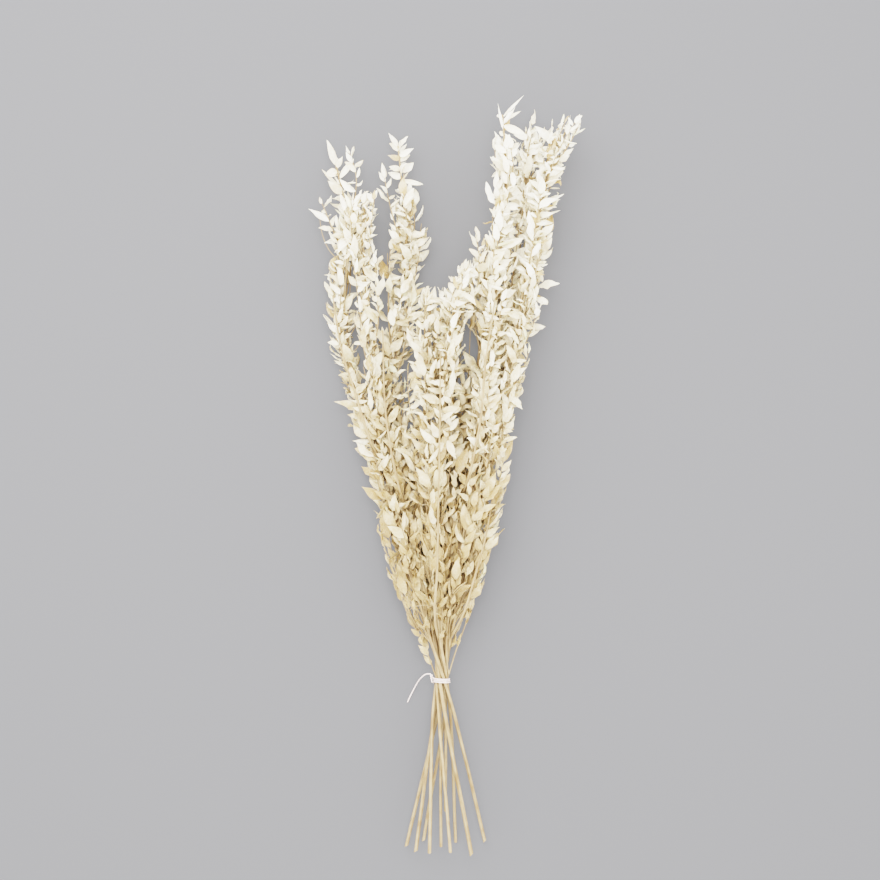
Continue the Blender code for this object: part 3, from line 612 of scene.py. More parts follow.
class Chain:
    """A stem or a twig that leaves grow on: its tube, its leafy stem and where along it the leaves are."""

    # The way that the leaves of a fine twig face
    facing = None
    is_sprig = False

    def __init__(self, owner, points, radii, sides, turn, first_leaf, leaf_every):
        self.owner = owner
        self.points = points
        self.radii = radii
        self.sides = sides
        self.turn = turn
        self.first_leaf = first_leaf
        self.leaf_every = leaf_every
        self.shape = tube_shape(points, radii, sides, turn)
        self.steps = [0.0]
        for a, b in zip(points, points[1:]):
            self.steps.append(self.steps[-1] + (b - a).length)
        self.length = self.steps[-1]
        self.leafy_to = self.length

    def at(self, distance):
        """The point, the direction and the radius of the chain at a distance along it."""
        part = 1
        while part < len(self.steps) - 1 and self.steps[part] < distance:
            part += 1
        a, b = self.points[part - 1], self.points[part]
        share = (distance - self.steps[part - 1]) / (self.steps[part] - self.steps[part - 1])
        return a.lerp(b, share), (b - a).normalized(), blend(self.radii[part - 1:part + 1], share)

    def distance_at(self, level):
        return float(np.interp(level, [point.y for point in self.points], self.steps))

    def face_azimuth(self, number):
        """The way that one of the chain's flat sides looks."""
        return self.turn + 2 * math.pi * (number + 0.5) / self.sides

    def root(self, middle, away, radius):
        """Where a leaf starts, just under the flat side that looks that way."""
        return middle + away * max(0.0, radius * math.cos(math.pi / self.sides) - ROOT_DEPTH)

    def distance_to(self, point):
        nearest = math.inf
        for a, b in zip(self.points, self.points[1:]):
            share = clamped((point - a).dot(b - a) / (b - a).length_squared)
            nearest = min(nearest, (point - a.lerp(b, share)).length)
        return nearest


def main_chain(stem):
    levels = ring_levels(stem)
    points = [stem.at(level) for level in levels]
    radii = [stem.radius_at(level) for level in levels]
    first_leaf = FIRST_LEAF_ON_STEM - stem.start
    chain = Chain(stem, points, radii, STEM_SIDES, -math.pi / 2, first_leaf, LEAF_EVERY_ON_STEM)
    chain.leafy_to = chain.distance_at(stem.leafy_to)
    return chain


def twig_chain(stem, start, length, azimuth):
    """A twig that leaves the stem at a level and then runs along beside it."""
    reach = max(TWIG_LEAST_REACH, TWIG_REACH * stem.reach_at(start + TWIG_SPREADS_UP_TO * length))
    points, radii = [], []
    for step in range(TWIG_STEPS + 1):
        share = step / TWIG_STEPS
        along = start + share * length
        away = reach * math.sin(min(1.0, share / TWIG_SPREADS_UP_TO) * math.pi / 2)
        point = stem.at(along) + away * outward(azimuth + math.radians(TWIG_TURN_DEG) * share)
        point.z = max(point.z, TWIG_RADII[0])
        points.append(point)
        radii.append(blend(TWIG_RADII, share))
    return Chain(stem, points, radii, TWIG_SIDES, azimuth, FIRST_LEAF_ON_TWIG, LEAF_EVERY_ON_TWIG)


def twig_is_clear(twig, chains):
    """True where the twig, past its root, keeps its distance from every stem and every other twig."""
    for distance in np.arange(0.0, twig.length, TWIG_SAMPLE_EVERY):
        point, _, radius = twig.at(distance)
        for other in chains:
            if other.owner is twig.owner and distance < TWIG_ROOT_ZONE:
                continue
            if other.distance_to(point) < radius + max(other.radii) + TWIG_GAP:
                return False
    return True


def grow_twigs(stem, chains, rng):
    """Twigs at even levels up the stem, each turned by the golden angle and then on, until it is clear."""
    count = max(1, round((stem.twigs_to - FIRST_TWIG) / TWIG_EVERY))
    azimuth = rng.uniform(0.0, 2 * math.pi)
    for number in range(count):
        share = (number / max(1, count - 1)) ** TWIGS_TOWARDS_TIP
        start = blend((FIRST_TWIG, stem.twigs_to - SHORTEST_TWIG), share)
        if 0 < number < count - 1:
            start += rng.uniform(-TWIG_START_SPREAD, TWIG_START_SPREAD)
        length = varied(TWIG_LENGTH, TWIG_LENGTH_SPREAD, rng)
        length = min(length, stem.twigs_to - start + TWIG_PAST_STEM_END)
        azimuth += math.radians(GOLDEN_ANGLE_DEG)
        for attempt in range(AZIMUTH_TRIES):
            step = (attempt + 1) // 2 * (1 if attempt % 2 else -1)
            twig = twig_chain(stem, start, length, azimuth + 2 * math.pi * step / AZIMUTH_TRIES)
            if twig_is_clear(twig, chains):
                chains.append(twig)
                break


class Leaf:
    """A pointed blade: its root on a chain, the way it points, the way its face looks, and its size."""

    is_set = False

    def __init__(self, root, direction, normal, length, width, arch):
        self.root = root
        self.direction = direction
        self.side = direction.cross(normal).normalized()
        self.normal = self.side.cross(direction)
        self.length = length
        self.half_width = width / 2
        self.arch = arch
        self.outline = SHORT_BLADE if length < SHORT_LEAF else LONG_BLADE

    def arched(self, share):
        """Middle and normal at a share of the length. The blade is straight up to its first ring."""
        straight = self.outline[0][0]
        bent = max(0.0, share - straight)
        bend = self.arch * bent / (1.0 - straight)
        chord_way = self.direction * math.cos(bend / 2) + self.normal * math.sin(bend / 2)
        middle = self.root + self.length * (min(share, straight) * self.direction + bent * chord_way)
        return middle, self.normal * math.cos(bend) - self.direction * math.sin(bend)

    def meets_surface(self, share, half_width, half_thickness):
        middle, normal = self.arched(share)
        return share > 0.0 and middle.z < abs(self.side.z) * half_width + abs(normal.z) * half_thickness

    def is_wrung(self):
        """True where the surface would turn the blade too far on its way to lying flat."""
        for share, width in (*self.outline, (1.0, 0.0)):
            half_width = width * self.half_width + BLADE_GAP
            steep = abs(self.arched(share)[1].z) < LEAST_LEVEL_NORMAL
            if steep and self.meets_surface(share, half_width, BLADE_THICKNESS / 2 + BLADE_GAP):
                return True
        return False

    def section(self, share, half_width, half_thickness):
        """Middle, side and normal of the blade at a share of its length, flat where it meets the surface."""
        middle, normal = self.arched(share)
        if not self.meets_surface(share, half_width, half_thickness):
            return middle, self.side, normal
        level = Vector((0.0, 0.0, 1.0 if normal.z >= 0.0 else -1.0))
        side = Vector((self.side.x, self.side.y, 0.0)).normalized()
        return Vector((middle.x, middle.y, half_thickness)), side, level

    def shape(self, margin=0.0):
        """Points and faces of the closed blade, grown by a margin."""
        half_thickness = BLADE_THICKNESS / 2 + margin
        middle, _, normal = self.section(0.0, 0.0, half_thickness)
        verts = [middle + half_thickness * normal, middle - half_thickness * normal]
        for share, width in self.outline:
            half_width = width * self.half_width + margin
            middle, side, normal = self.section(share, half_width, half_thickness)
            verts += [middle - half_width * side + half_thickness * normal,
                      middle + half_width * side + half_thickness * normal,
                      middle + half_width * side - half_thickness * normal,
                      middle - half_width * side - half_thickness * normal]
        tip, _, _ = self.section(1.0 + margin / self.length, 0.0, half_thickness)
        verts.append(tip)
        faces = [(0, 3, 2), (1, 5, 4), (0, 2, 5, 1), (0, 1, 4, 3)]
        last_ring = len(verts) - 5
        for ring in range(2, last_ring, 4):
            for k in range(4):
                a, b = ring + k, ring + (k + 1) % 4
                faces += [(a, b, b + 4), (a, b + 4, a + 4)] if k != 2 else [(a, b, a + 4), (b, b + 4, a + 4)]
        faces += [(last_ring + k, last_ring + (k + 1) % 4, last_ring + 4) for k in range(4)]
        return verts, faces


class ClearSpace:
    """What has been placed so far, for telling whether a new shape is clear of it."""

    def __init__(self):
        self.low = np.zeros((MOST_SHAPES, 3))
        self.high = np.zeros((MOST_SHAPES, 3))
        self.items = []

    def add(self, owner, shape):
        verts, faces = shape
        corners = np.array(verts)
        self.low[len(self.items)] = corners.min(axis=0)
        self.high[len(self.items)] = corners.max(axis=0)
        self.items.append((owner, BVHTree.FromPolygons(verts, faces)))

    def is_clear(self, shape, but_not):
        verts, faces = shape
        corners = np.array(verts)
        count = len(self.items)
        near = (self.low[:count] <= corners.max(axis=0)) & (self.high[:count] >= corners.min(axis=0))
        tree = None
        for index in np.flatnonzero(near.all(axis=1)):
            owner, other = self.items[index]
            if owner is but_not:
                continue
            tree = tree or BVHTree.FromPolygons(verts, faces)
            if tree.overlap(other):
                return False
        return True


def leaf_length(along, rng):
    return varied(blend(LEAF_LENGTHS, clamped(along / HIGHEST_LEVEL)), LEAF_LENGTH_SPREAD, rng)


def draw_leaf(chain, distance, face, rng, at_tip):
    """One random leaf at a place on a chain, opening away from one of its flat sides."""
    middle, ahead, radius = chain.at(distance)
    stem = chain.owner
    length = leaf_length(middle.y, rng)
    width = length * rng.uniform(*LEAF_SLENDERNESS)
    away = square_to(ahead, outward(chain.face_azimuth(face))).normalized()
    root = chain.root(middle, away, radius)
    aside = away.cross(ahead) * rng.uniform(-LEAF_ASIDE, LEAF_ASIDE)
    opening = drawn_angle(LEAF_OPENING_DEG, rng)
    if rng.random() < HANGING_SHARE:
        opening = drawn_angle(HANGING_OPENING_DEG, rng)
    if at_tip:
        opening = drawn_angle(TIP_LEAF_OPENING_DEG, rng)
        root = middle
    direction = (ahead * math.cos(opening) + (away + aside) * math.sin(opening)).normalized()
    from_axis = root - stem.at(root.y)
    face_way = from_axis.normalized() if from_axis.length > LEAST_OFF_AXIS else away
    face_way = face_way + drawn_shift(FACE_SPREAD, rng)
    face_way.z += FACE_UPWARDS
    face_way = square_to(direction, face_way)
    if face_way.length < LEAST_FACE_WAY:
        face_way = direction.orthogonal()
    return Leaf(root, direction, face_way.normalized(), length, width, drawn_angle(LEAF_ARCH_DEG, rng))


def is_past_envelope(tip, stem):
    """True where a leaf's tip stands further off its stem, or past its end, than the plume reaches."""
    axis = stem.at(min(tip.y, stem.tip))
    off_axis = Vector((tip.x - axis.x, 0.0, tip.z - axis.z)).length
    return tip.y > stem.tip + PAST_STEM_TIP or off_axis > stem.reach_at(tip.y) + ENVELOPE_ALLOWANCE


def leaf_fits(leaf, chain, space):
    """True where the leaf stays in its stem's envelope, leaves its own chain and is clear of all else."""
    if is_past_envelope(leaf.section(1.0, 0.0, BLADE_THICKNESS / 2)[0], chain.owner):
        return False
    for share in BLADE_CLEARS_CHAIN_AT:
        middle, _, _ = leaf.section(share, 0.0, BLADE_THICKNESS / 2)
        if chain.distance_to(middle) < chain.radii[0] + BLADE_OFF_CHAIN and middle.y < chain.points[-1].y:
            return False
    return not leaf.is_wrung() and space.is_clear(leaf.shape(BLADE_GAP), chain)


def leaf_places(chain, rng):
    """Distances along a chain where leaves grow, and the side each is on, ending with one at the tip."""
    face = rng.randrange(chain.sides)
    leafy = chain.leafy_to - chain.first_leaf
    count = max(1, round(leafy / chain.leaf_every))
    for number in range(count):
        share = (number + rng.uniform(-LEAF_PLACE_SPREAD, LEAF_PLACE_SPREAD)) / count
        face = (face + SIDES_ROUND[chain.sides]) % chain.sides
        yield chain.first_leaf + leafy * max(0.0, share), face, False
    if chain.leafy_to == chain.length:
        yield chain.length - TIP_ROOT_DEPTH, face, True


def set_leaf(chain, level, tip, width, rng):
    """A leaf from a level on a stem to a given tip, its face turned up and a little aside."""
    middle, ahead, radius = chain.at(chain.distance_at(level))
    root = chain.root(middle, square_to(ahead, Vector(tip) - middle).normalized(), radius)
    way = Vector(tip) - root
    face_way = drawn_shift(SET_LEAF_TILT, rng)
    face_way.z += 1.0
    face_way = face_way - way * face_way.dot(way) / way.length_squared
    arch = drawn_angle(SET_LEAF_ARCH_DEG, rng)
    leaf = Leaf(root, way.normalized(), face_way.normalized(), way.length, width, arch)
    leaf.is_set = True
    return leaf


def keep_leaf(leaf, chain, space, leaves):
    space.add(None, leaf.shape())
    leaf.owner = chain.owner
    leaves.append(leaf)


def grow_leaves(chains, space):
    """The set leaves, then others on every chain from its tip down, each drawn until it is clear."""
    leaves = []
    rng = random.Random(SET_LEAVES_SEED)
    for chain in chains:
        on_stem = SET_LEAVES.get(chain.owner.name, ()) if chain.sides == STEM_SIDES else ()
        for level, tip, width in on_stem:
            keep_leaf(set_leaf(chain, level, tip, width, rng), chain, space, leaves)
    waiting = []
    for number, chain in enumerate(chains):
        rng = random.Random(LEAF_SEED + number)
        waiting.append((chain, list(leaf_places(chain, rng)), rng))
    while any(places for _, places, _ in waiting):
        for chain, places, rng in waiting:
            if not places:
                continue
            distance, face, at_tip = places.pop()
            for _ in range(LEAF_TRIES):
                leaf = draw_leaf(chain, distance, face, rng, at_tip)
                if leaf_fits(leaf, chain, space):
                    keep_leaf(leaf, chain, space, leaves)
                    break
    return leaves


def smooth_route(points, every):
    """Points at even steps on a smooth curve through the points."""
    points = [Vector(point) for point in points]
    chord = [0.0]
    for a, b in zip(points, points[1:]):
        chord.append(chord[-1] + (b - a).length)
    at = np.linspace(0.0, chord[-1], round(chord[-1] / every) + 1)
    columns = [smooth_values(chord, [point[k] for point in points], at) for k in range(3)]
    return [Vector(place) for place in zip(*columns)]


def fine_twig_starts(stem, rng):
    """Levels at which fine twigs leave a stem, evenly spaced with a little drift."""
    last = stem.twigs_to - SHORTEST_TWIG / 2
    count = max(2, round((last - FIRST_FINE_TWIG) / FINE_TWIG_EVERY))
    for number in range(count):
        share = (number + rng.uniform(-FINE_TWIG_PLACE_SPREAD, FINE_TWIG_PLACE_SPREAD)) / (count - 1)
        yield blend((FIRST_FINE_TWIG, last), max(0.0, share) ** MORE_TWIGS_LOW)


def fine_twig(stem, start, rng):
    """A thin twig that curves off the stem and then runs up beside it, drawn at random."""
    length = min(rng.uniform(*FINE_TWIG_LENGTH), stem.twigs_to - start + TWIG_PAST_STEM_END)
    azimuth = rng.uniform(0.0, 2.0 * math.pi)
    turn = math.radians(rng.uniform(-FINE_TWIG_TURN_DEG, FINE_TWIG_TURN_DEG))
    reach = stem.reach_at(start + length) * rng.uniform(*FINE_TWIG_REACH)
    points, radii = [], []
    for step in range(FINE_TWIG_STEPS + 1):
        share = step / FINE_TWIG_STEPS
        away = reach * math.sin(share * math.pi / 2)
        point = stem.at(start + share * length) + away * outward(azimuth + turn * share)
        point.z = max(point.z, FINE_TWIG_RADII[0] + FINE_TWIG_LIFT)
        points.append(point)
        radii.append(blend(FINE_TWIG_RADII, share))
    twig = Chain(stem, points, radii, TWIG_SIDES, azimuth, MORE_FIRST, MORE_EVERY_ON_FINE)
    twig.facing = outward(azimuth + turn)
    return twig


def grow_fine_twigs(stems, space):
    """Thin twigs on every stem, each drawn again until it is clear of the leaves and stems round it."""
    grown = []
    for number, stem in enumerate(stems):
        rng = random.Random(FINE_TWIG_SEED + number)
        for start in fine_twig_starts(stem, rng):
            for _ in range(FINE_TWIG_TRIES):
                twig = fine_twig(stem, start, rng)
                past_root = tube_shape(twig.points[1:], twig.radii[1:], twig.sides, twig.turn)
                if space.is_clear(past_root, twig):
                    space.add(twig, past_root)
                    grown.append(twig)
                    break
    return grown


def sprig_chain(stem, points, radii, every, rise, rng):
    """A twig out of its stem and along the given points, moved a little at random."""
    shift = drawn_shift(SPRIG_SHIFT, rng) + Vector((0.0, 0.0, rise))
    root = stem.at(points[0][1] - SPRIG_ROOT_BACK)
    points = smooth_route([root, *(Vector(point) + shift for point in points)], every)
    radii = [blend(radii, number / (len(points) - 1)) for number in range(len(points))]
    sprig = Chain(stem, points, radii, TWIG_SIDES, 0.0, MORE_FIRST, MORE_EVERY_ON_FINE)
    sprig.is_sprig = True
    sprig.facing = Vector((0.0, 0.0, 1.0))
    return sprig


def grow_sprigs(stems, space):
    """The sprigs, curls and runners set one by one. Gives the leafy ones, and those with no leaves."""
    rng = random.Random(SPRIG_SEED)
    grown = []
    for sprigs, radii, every, rise in SPRIG_KINDS:
        grown.append([])
        past = 1 + round(SPRIG_ROOT_BACK / every)
        for stem_number, points in sprigs:
            for number in range(SPRIG_TRIES):
                sprig = sprig_chain(stems[stem_number - 1], points, radii, every, number * rise, rng)
                past_root = tube_shape(sprig.points[past:], sprig.radii[past:], sprig.sides, sprig.turn)
                if space.is_clear(past_root, sprig):
                    break
            space.add(sprig, past_root)
            grown[-1].append(sprig)
    leafy, *bare = grown
    return leafy, [sprig for kind in bare for sprig in kind]


def is_in_gap(leaf):
    """True where part of the leaf stands in the open air between the plumes."""
    for share in GAP_LEAF_SHARES:
        point = leaf.arched(share)[0]
        for start, end, half_width in GAPS:
            start, run = Vector(start), Vector(end) - Vector(start)
            away = Vector((point.x, point.y)) - start
            near = clamped(away.dot(run) / run.length_squared)
            if (away - near * run).length < half_width:
                return True
    return False


def opening_range(along):
    """How far leaves at a level may open from their twig, in degrees."""
    share = clamped((along - PRESSED_BELOW) / (SPREAD_FROM - PRESSED_BELOW))
    return [blend(pair, share) for pair in zip(PRESSED_OPENING_DEG, SPREAD_OPENING_DEG)]


def is_bare(along, rng):
    """True for the share of places near the neck where no leaf grows."""
    return rng.random() < LEAFLESS_SHARE_AT_NECK * max(0.0, 1.0 - along / LEAFLESS_BELOW)


def ranked_leaf(chain, distance, facing, side, size, rng, at_tip):
    """A random leaf on one side of a twig, its face turned the way that the twig's leaves face."""
    middle, ahead, radius = chain.at(distance)
    facing = square_to(ahead, facing).normalized()
    turn = Quaternion(ahead, math.radians(rng.uniform(-RANK_SPREAD_DEG, RANK_SPREAD_DEG)))
    away = turn @ (side * ahead.cross(facing))
    opening = drawn_angle(TIP_LEAF_OPENING_DEG if at_tip else opening_range(middle.y), rng)
    direction = (ahead * math.cos(opening) + away * math.sin(opening)).normalized()
    face_way = facing + drawn_shift(RANK_FACE_SPREAD, rng)
    face_way.z += FACE_UPWARDS / 2
    face_way = square_to(direction, face_way).normalized()
    length = leaf_length(middle.y, rng) * size
    width = length * rng.uniform(*LEAF_SLENDERNESS)
    root = middle + away * radius / MORE_ROOT_PART
    return Leaf(root, direction, face_way, length, width, drawn_angle(LEAF_ARCH_DEG, rng))


def more_leaf_places(chain, rng):
    """Distances along a chain for the leaves that the solids leave out, the last one at its tip."""
    on_stem = chain.sides == STEM_SIDES
    first = max(MORE_FIRST, MORE_FIRST_ON_STEM - chain.points[0].y) if on_stem else MORE_FIRST
    every = MORE_EVERY_ON_STEM if on_stem else MORE_EVERY_ON_FINE if chain.facing else MORE_EVERY_ON_TWIG
    count = max(1, round((chain.length - first) / every))
    for number in range(count):
        place = number + rng.uniform(-MORE_PLACE_SPREAD, MORE_PLACE_SPREAD)
        yield first + (chain.length - first) * place / count, number, False
    if chain.facing:
        yield chain.length - TIP_ROOT_DEPTH, count, True


def more_leaf(chain, distance, number, at_tip, rng):
    """A leaf for the gaps between the solids' leaves, smaller near the neck."""
    size = rng.uniform(*MORE_SIZE)
    along = chain.at(distance)[0].y
    if along < NECK_LEAVES_UP_TO:
        size *= MORE_SIZE_AT_NECK + (1.0 - MORE_SIZE_AT_NECK) * max(0.0, along) / NECK_LEAVES_UP_TO
    facing = chain.facing or outward(rng.uniform(0.0, 2.0 * math.pi))
    return ranked_leaf(chain, distance, facing, 1 if number % 2 else -1, size, rng, at_tip)


def more_leaf_fits(leaf, chain, space):
    """True where the leaf is clear, keeps to its stem and doesn't dip far below the surface."""
    tip = leaf.arched(1.0)[0]
    if not chain.is_sprig and is_past_envelope(tip, chain.owner) or is_in_gap(leaf):
        return False
    return tip.z > MORE_DEEPEST and space.is_clear(leaf.shape(MORE_GAP), chain)


def grow_more_leaves(chains, space):
    """The leaves between the solids' leaves, from each chain's tip down, each drawn until it is clear."""
    leaves = []
    for number, chain in enumerate(chains):
        rng = random.Random(MORE_LEAVES_SEED + number)
        for distance, place, at_tip in reversed(list(more_leaf_places(chain, rng))):
            if is_bare(chain.at(distance)[0].y, rng):
                continue
            for _ in range(MORE_TRIES):
                leaf = more_leaf(chain, distance, place, at_tip, rng)
                if more_leaf_fits(leaf, chain, space):
                    keep_leaf(leaf, chain, space, leaves)
                    break
    return leaves


class BladeForms:
    """The drawn shapes of many leaves, one row for each: how it cups, folds, curls, twists and waves."""

    def __init__(self, leaves, seed):
        rng = np.random.default_rng(seed)
        count = len(leaves)
        self.leaves = leaves
        self.random = rng.random(count)
        self.widest = rng.uniform(*WIDEST_AT, count)
        self.shoulder = rng.uniform(*SHOULDER, count)
        bend = np.radians([SET_LEAVES_BEND if leaf.is_set else 1.0 for leaf in leaves])
        rolled = np.where(rng.random(count) < ROLLED_SHARE, rng.choice((-0.5, 1.0), count) * ROLLED_DEG, 0.0)
        self.roll = bend * np.where(rolled == 0.0, rng.uniform(*ROLL_DEG, count), rolled)
        self.fold = rng.uniform(*FOLD, count)
        self.tip_curl = bend * rng.uniform(*TIP_CURL_DEG, count)
        self.bow = bend * rng.uniform(-SIDE_BOW_DEG, SIDE_BOW_DEG, count)
        most_twist = np.where(rng.random(count) < WRUNG_SHARE, WRUNG_TWIST_DEG, TWIST_DEG)
        self.twist = bend * rng.uniform(-1.0, 1.0, count) * most_twist
        self.waves = rng.uniform(*WAVES_ALONG, count)
        self.wave_start = rng.uniform(0.0, 2.0 * math.pi, count)
        self.crumple = CRUMPLE * rng.normal(size=(count, len(STATIONS), len(COLUMNS)))

    def middle_lines(self):
        """Points, sides and normals at every station of every leaf, each (leaf, station, axis)."""
        stations = np.array(STATIONS)
        root, ahead, side, normal = (np.array([getattr(leaf, fact) for leaf in self.leaves])[:, None]
                                     for fact in ("root", "direction", "side", "normal"))
        straight = np.array([leaf.outline[0][0] for leaf in self.leaves])[:, None]
        arch = np.array([leaf.arch for leaf in self.leaves])[:, None]
        length = np.array([leaf.length for leaf in self.leaves])[:, None, None]

        def angles(at):
            """How far the leaf rises and how far it turns aside, at shares of its length."""
            curl = self.tip_curl[:, None] * np.clip((at - TIP_CURL_FROM) / TIP_CURL_OVER, 0.0, 1.0) ** 2
            rise = arch * np.clip((at - straight) / (1.0 - straight), 0.0, 1.0) + curl
            return rise[..., None], (self.bow[:, None] * at)[..., None]

        rise, yaw = angles((stations[1:] + stations[:-1]) / 2)
        way = (ahead * np.cos(rise) + normal * np.sin(rise)) * np.cos(yaw) + side * np.sin(yaw)
        steps = length * way * np.diff(stations)[None, :, None]
        middles = np.concatenate([root, root + np.cumsum(steps, axis=1)], axis=1)
        rise, yaw = angles(stations)
        level = side * np.cos(yaw) - (ahead * np.cos(rise) + normal * np.sin(rise)) * np.sin(yaw)
        upright = normal * np.cos(rise) - ahead * np.sin(rise)
        twist = (self.twist[:, None] * stations)[..., None]
        sides = level * np.cos(twist) + upright * np.sin(twist)
        normals = upright * np.cos(twist) - level * np.sin(twist)
        return middles, sides, normals

    def half_widths(self):
        """Half the width at every station: a drawn-out tip, rounded shoulders and a narrow stalk."""
        stations = np.array(STATIONS)[None]
        widest, shoulder = self.widest[:, None], self.shoulder[:, None]
        taper = shoulder * (1.0 - widest) / widest
        shape = (stations / widest) ** shoulder * ((1.0 - stations) / (1.0 - widest)) ** taper
        widths = shape * np.array([leaf.half_width for leaf in self.leaves])[:, None]
        widths = np.maximum(widths, TIP_HALF_WIDTH)
        widths[:, 0] = STALK_HALF_WIDTH
        return widths

    def points(self):
        """Every point of every blade, (leaf, station, point round the blade, axis)."""
        middles, sides, normals = self.middle_lines()
        widths = self.half_widths()[..., None]
        across = np.array(COLUMNS + UNDER_COLUMNS)
        stations = np.array(STATIONS)
        turn = 2.0 * math.pi * self.waves[:, None] * stations + self.wave_start[:, None]
        wave = WAVE * np.sin(turn[..., None] + (across > 0) * WAVE_SIDES_APART * math.pi) * across**2
        roll = np.where(np.abs(self.roll) < LEAST_ROLL, LEAST_ROLL, self.roll)[:, None, None]
        spread = np.sin(roll * across) / roll
        lift = self.fold[:, None, None] * np.abs(across) + (1.0 - np.cos(roll * across)) / roll + wave
        lift += self.crumple[..., [COLUMNS.index(column) for column in across]]
        middles, sides, normals = middles[:, :, None], sides[:, :, None], normals[:, :, None]
        points = middles + sides * (widths * spread)[..., None] + normals * (widths * lift)[..., None]
        above = points[..., 2] - RESTING_HEIGHT
        points[..., 2] = RESTING_HEIGHT + (above + np.sqrt(above**2 + RESTING_SOFTNESS**2)) / 2
        under = np.arange(len(across)) >= len(COLUMNS)
        thickness = FINE_THICKNESS * (1.0 - across**2) * (0.5 - under)
        return points + normals * thickness[:, None]


def blade_faces(count):
    """Faces of closed blades that each have the same rings, and a cap at either end."""
    around = len(COLUMNS) + len(UNDER_COLUMNS)
    rings = len(STATIONS)
    ring, place = np.meshgrid(np.arange(rings - 1), np.arange(around), indexing="ij")
    after = (place + 1) % around
    quads = np.stack([ring * around + place, ring * around + after,
                      (ring + 1) * around + after, (ring + 1) * around + place], axis=-1).reshape(-1, 4)
    starts = np.arange(count) * rings * around
    faces = (starts[:, None, None] + quads).reshape(-1, 4).tolist()
    for start in starts.tolist():
        faces.append(tuple(range(start + around - 1, start - 1, -1)))
        last = start + (rings - 1) * around
        faces.append(tuple(range(last, last + around)))
    return faces


def add_object(name, data):
    """A new object in the scene."""
    item = bpy.data.objects.new(name, data)
    bpy.context.scene.collection.objects.link(item)
    return item


class RowFrame:
    """Makes the pieces: it moves points from the bundle's growth frame into the row frame, in metres."""

    def __init__(self, stems):
        low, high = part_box("tie_band")
        ridge = STRING_RADIUS * (BAND_BACK + math.cos(math.pi / 2 - math.pi / TURN_SIDES))
        radius = neck_radius(stems) + STRING_CLEARANCE + ridge
        self.shift = Vector((high[0] / METRES - radius,
                             low[1] / METRES + STRING_TURNS * STRING_RADIUS,
                             low[2] / METRES + radius - NECK_HEIGHT))

    def place(self, point):
        return (Vector(point) + self.shift) * METRES

    def piece(self, name, points, faces, attributes, material, replaced, slot):
        """A smooth piece with vector attributes on its points, riding on the body in place of a solid."""
        mesh = bpy.data.meshes.new(name)
        mesh.from_pydata(((np.asarray(points) + np.array(self.shift)) * METRES).tolist(), [], faces)
        for key, values in attributes.items():
            layer = mesh.attributes.new(key, "FLOAT_VECTOR", "POINT")
            layer.data.foreach_set("vector", np.ascontiguousarray(values, np.float32).ravel())
        mesh.shade_smooth()
        mesh.set_sharp_from_angle(angle=math.radians(SHARP_DEG))
        mesh.materials.append(material)
        item = add_object(name, mesh)
        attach(item, BODY)
        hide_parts(replaced)
        return item


def blade_tones_and_shade(forms, seed):
    """How tan, how white and how green every leaf is. Leaves low near the surface are made tanner as painted
    shade; leaves inside the plumes and near the neck are tanner, and leaves near the tips whiter, partly by
    their own colour and partly by painted light and shade.
    """
    rng = np.random.default_rng(seed)
    count = len(forms.leaves)
    middles = np.array([leaf.arched(0.5)[0] for leaf in forms.leaves])
    along = np.clip(middles[:, 1] / HIGHEST_LEVEL, 0.0, 1.0)
    height = np.clip(middles[:, 2] / TOP_OF_PLUMES, 0.0, 1.0)
    owned = [(leaf.owner, point[1]) for leaf, point in zip(forms.leaves, middles)]
    axes = np.array([stem.at(min(level, stem.tip)) for stem, level in owned])
    reach = np.array([stem.reach_at(level) for stem, level in owned])
    off_axis = np.clip(np.linalg.norm(middles - axes, axis=1) / reach, 0.0, 1.0)
    spread = TAN_SPREAD * (rng.random(count) - 0.5)
    # Tanner towards the neck (own colour with painted shade where the light falls off) and tanner low near
    # the surface (painted shade), with a random spread
    tan = TAN_AND_SHADE_AT_NECK * (1.0 - along) ** TAN_AND_SHADE_FADES + PAINTED_SHADE_WHEN_LOW * (1.0 - height) + spread
    # Tanner near the stem's axis, low in the bundle: own colour and painted shade inside the plume
    tan += TAN_AND_SHADE_INSIDE * (1.0 - along) * (1.0 - off_axis)
    tan = np.where(rng.random(count) < TAN_LEAVES, TAN_LEAF_TONE, tan)
    # Whiter towards the tips: own bleaching and painted light
    white = blend((WHITE_AND_LIGHT_AT_NECK, WHITE_AND_LIGHT_AT_TIPS), along) + WHITE_SPREAD * (rng.random(count) - 0.5)
    green = np.where(rng.random(count) < GREEN_LEAVES, GREEN_LEAF_TONE, GREEN_TINGE * rng.random(count))
    return np.clip(np.stack([tan, white, green], axis=1), 0.0, 1.0)


def make_leaves(stem, leaves, material, seed, row):
    """All the leaves of one leafy stem, as closed thin blades in one piece."""
    forms = BladeForms(leaves, seed)
    points = forms.points()
    count, rings, around, _ = points.shape
    blade = np.zeros((count, rings, around, 3))
    blade[..., 0] = np.array(COLUMNS + UNDER_COLUMNS)
    blade[..., 1] = np.array(STATIONS)[None, :, None]
    blade[..., 2] = forms.random[:, None, None]
    # Each leaf's tan, white and green shares, with their painted light and shade, on all its points
    tone = np.broadcast_to(blade_tones_and_shade(forms, seed)[:, None, None], blade.shape)
    attributes = {"blade": blade.reshape(-1, 3), "tone": tone.reshape(-1, 3)}
    return row.piece(stem.name + "_leaves", points.reshape(-1, 3), blade_faces(count), attributes,
                     material, stem.name, "ruscus")


def run_along(points):
    """How far along the line each of its points is."""
    return np.concatenate(([0.0], np.cumsum(np.linalg.norm(np.diff(points, axis=0), axis=1))))


def turning_frames(points):
    """Two directions square to the line at each point, carried along it without turning."""
    ways = np.gradient(points, axis=0)
    ways /= np.linalg.norm(ways, axis=1, keepdims=True)
    first = np.cross(ways[0], np.eye(3)[np.argmin(np.abs(ways[0]))])
    frames = []
    for way in ways:
        first = first - way * first.dot(way)
        first /= np.linalg.norm(first)
        frames.append((first, np.cross(way, first)))
    return np.array(frames), ways


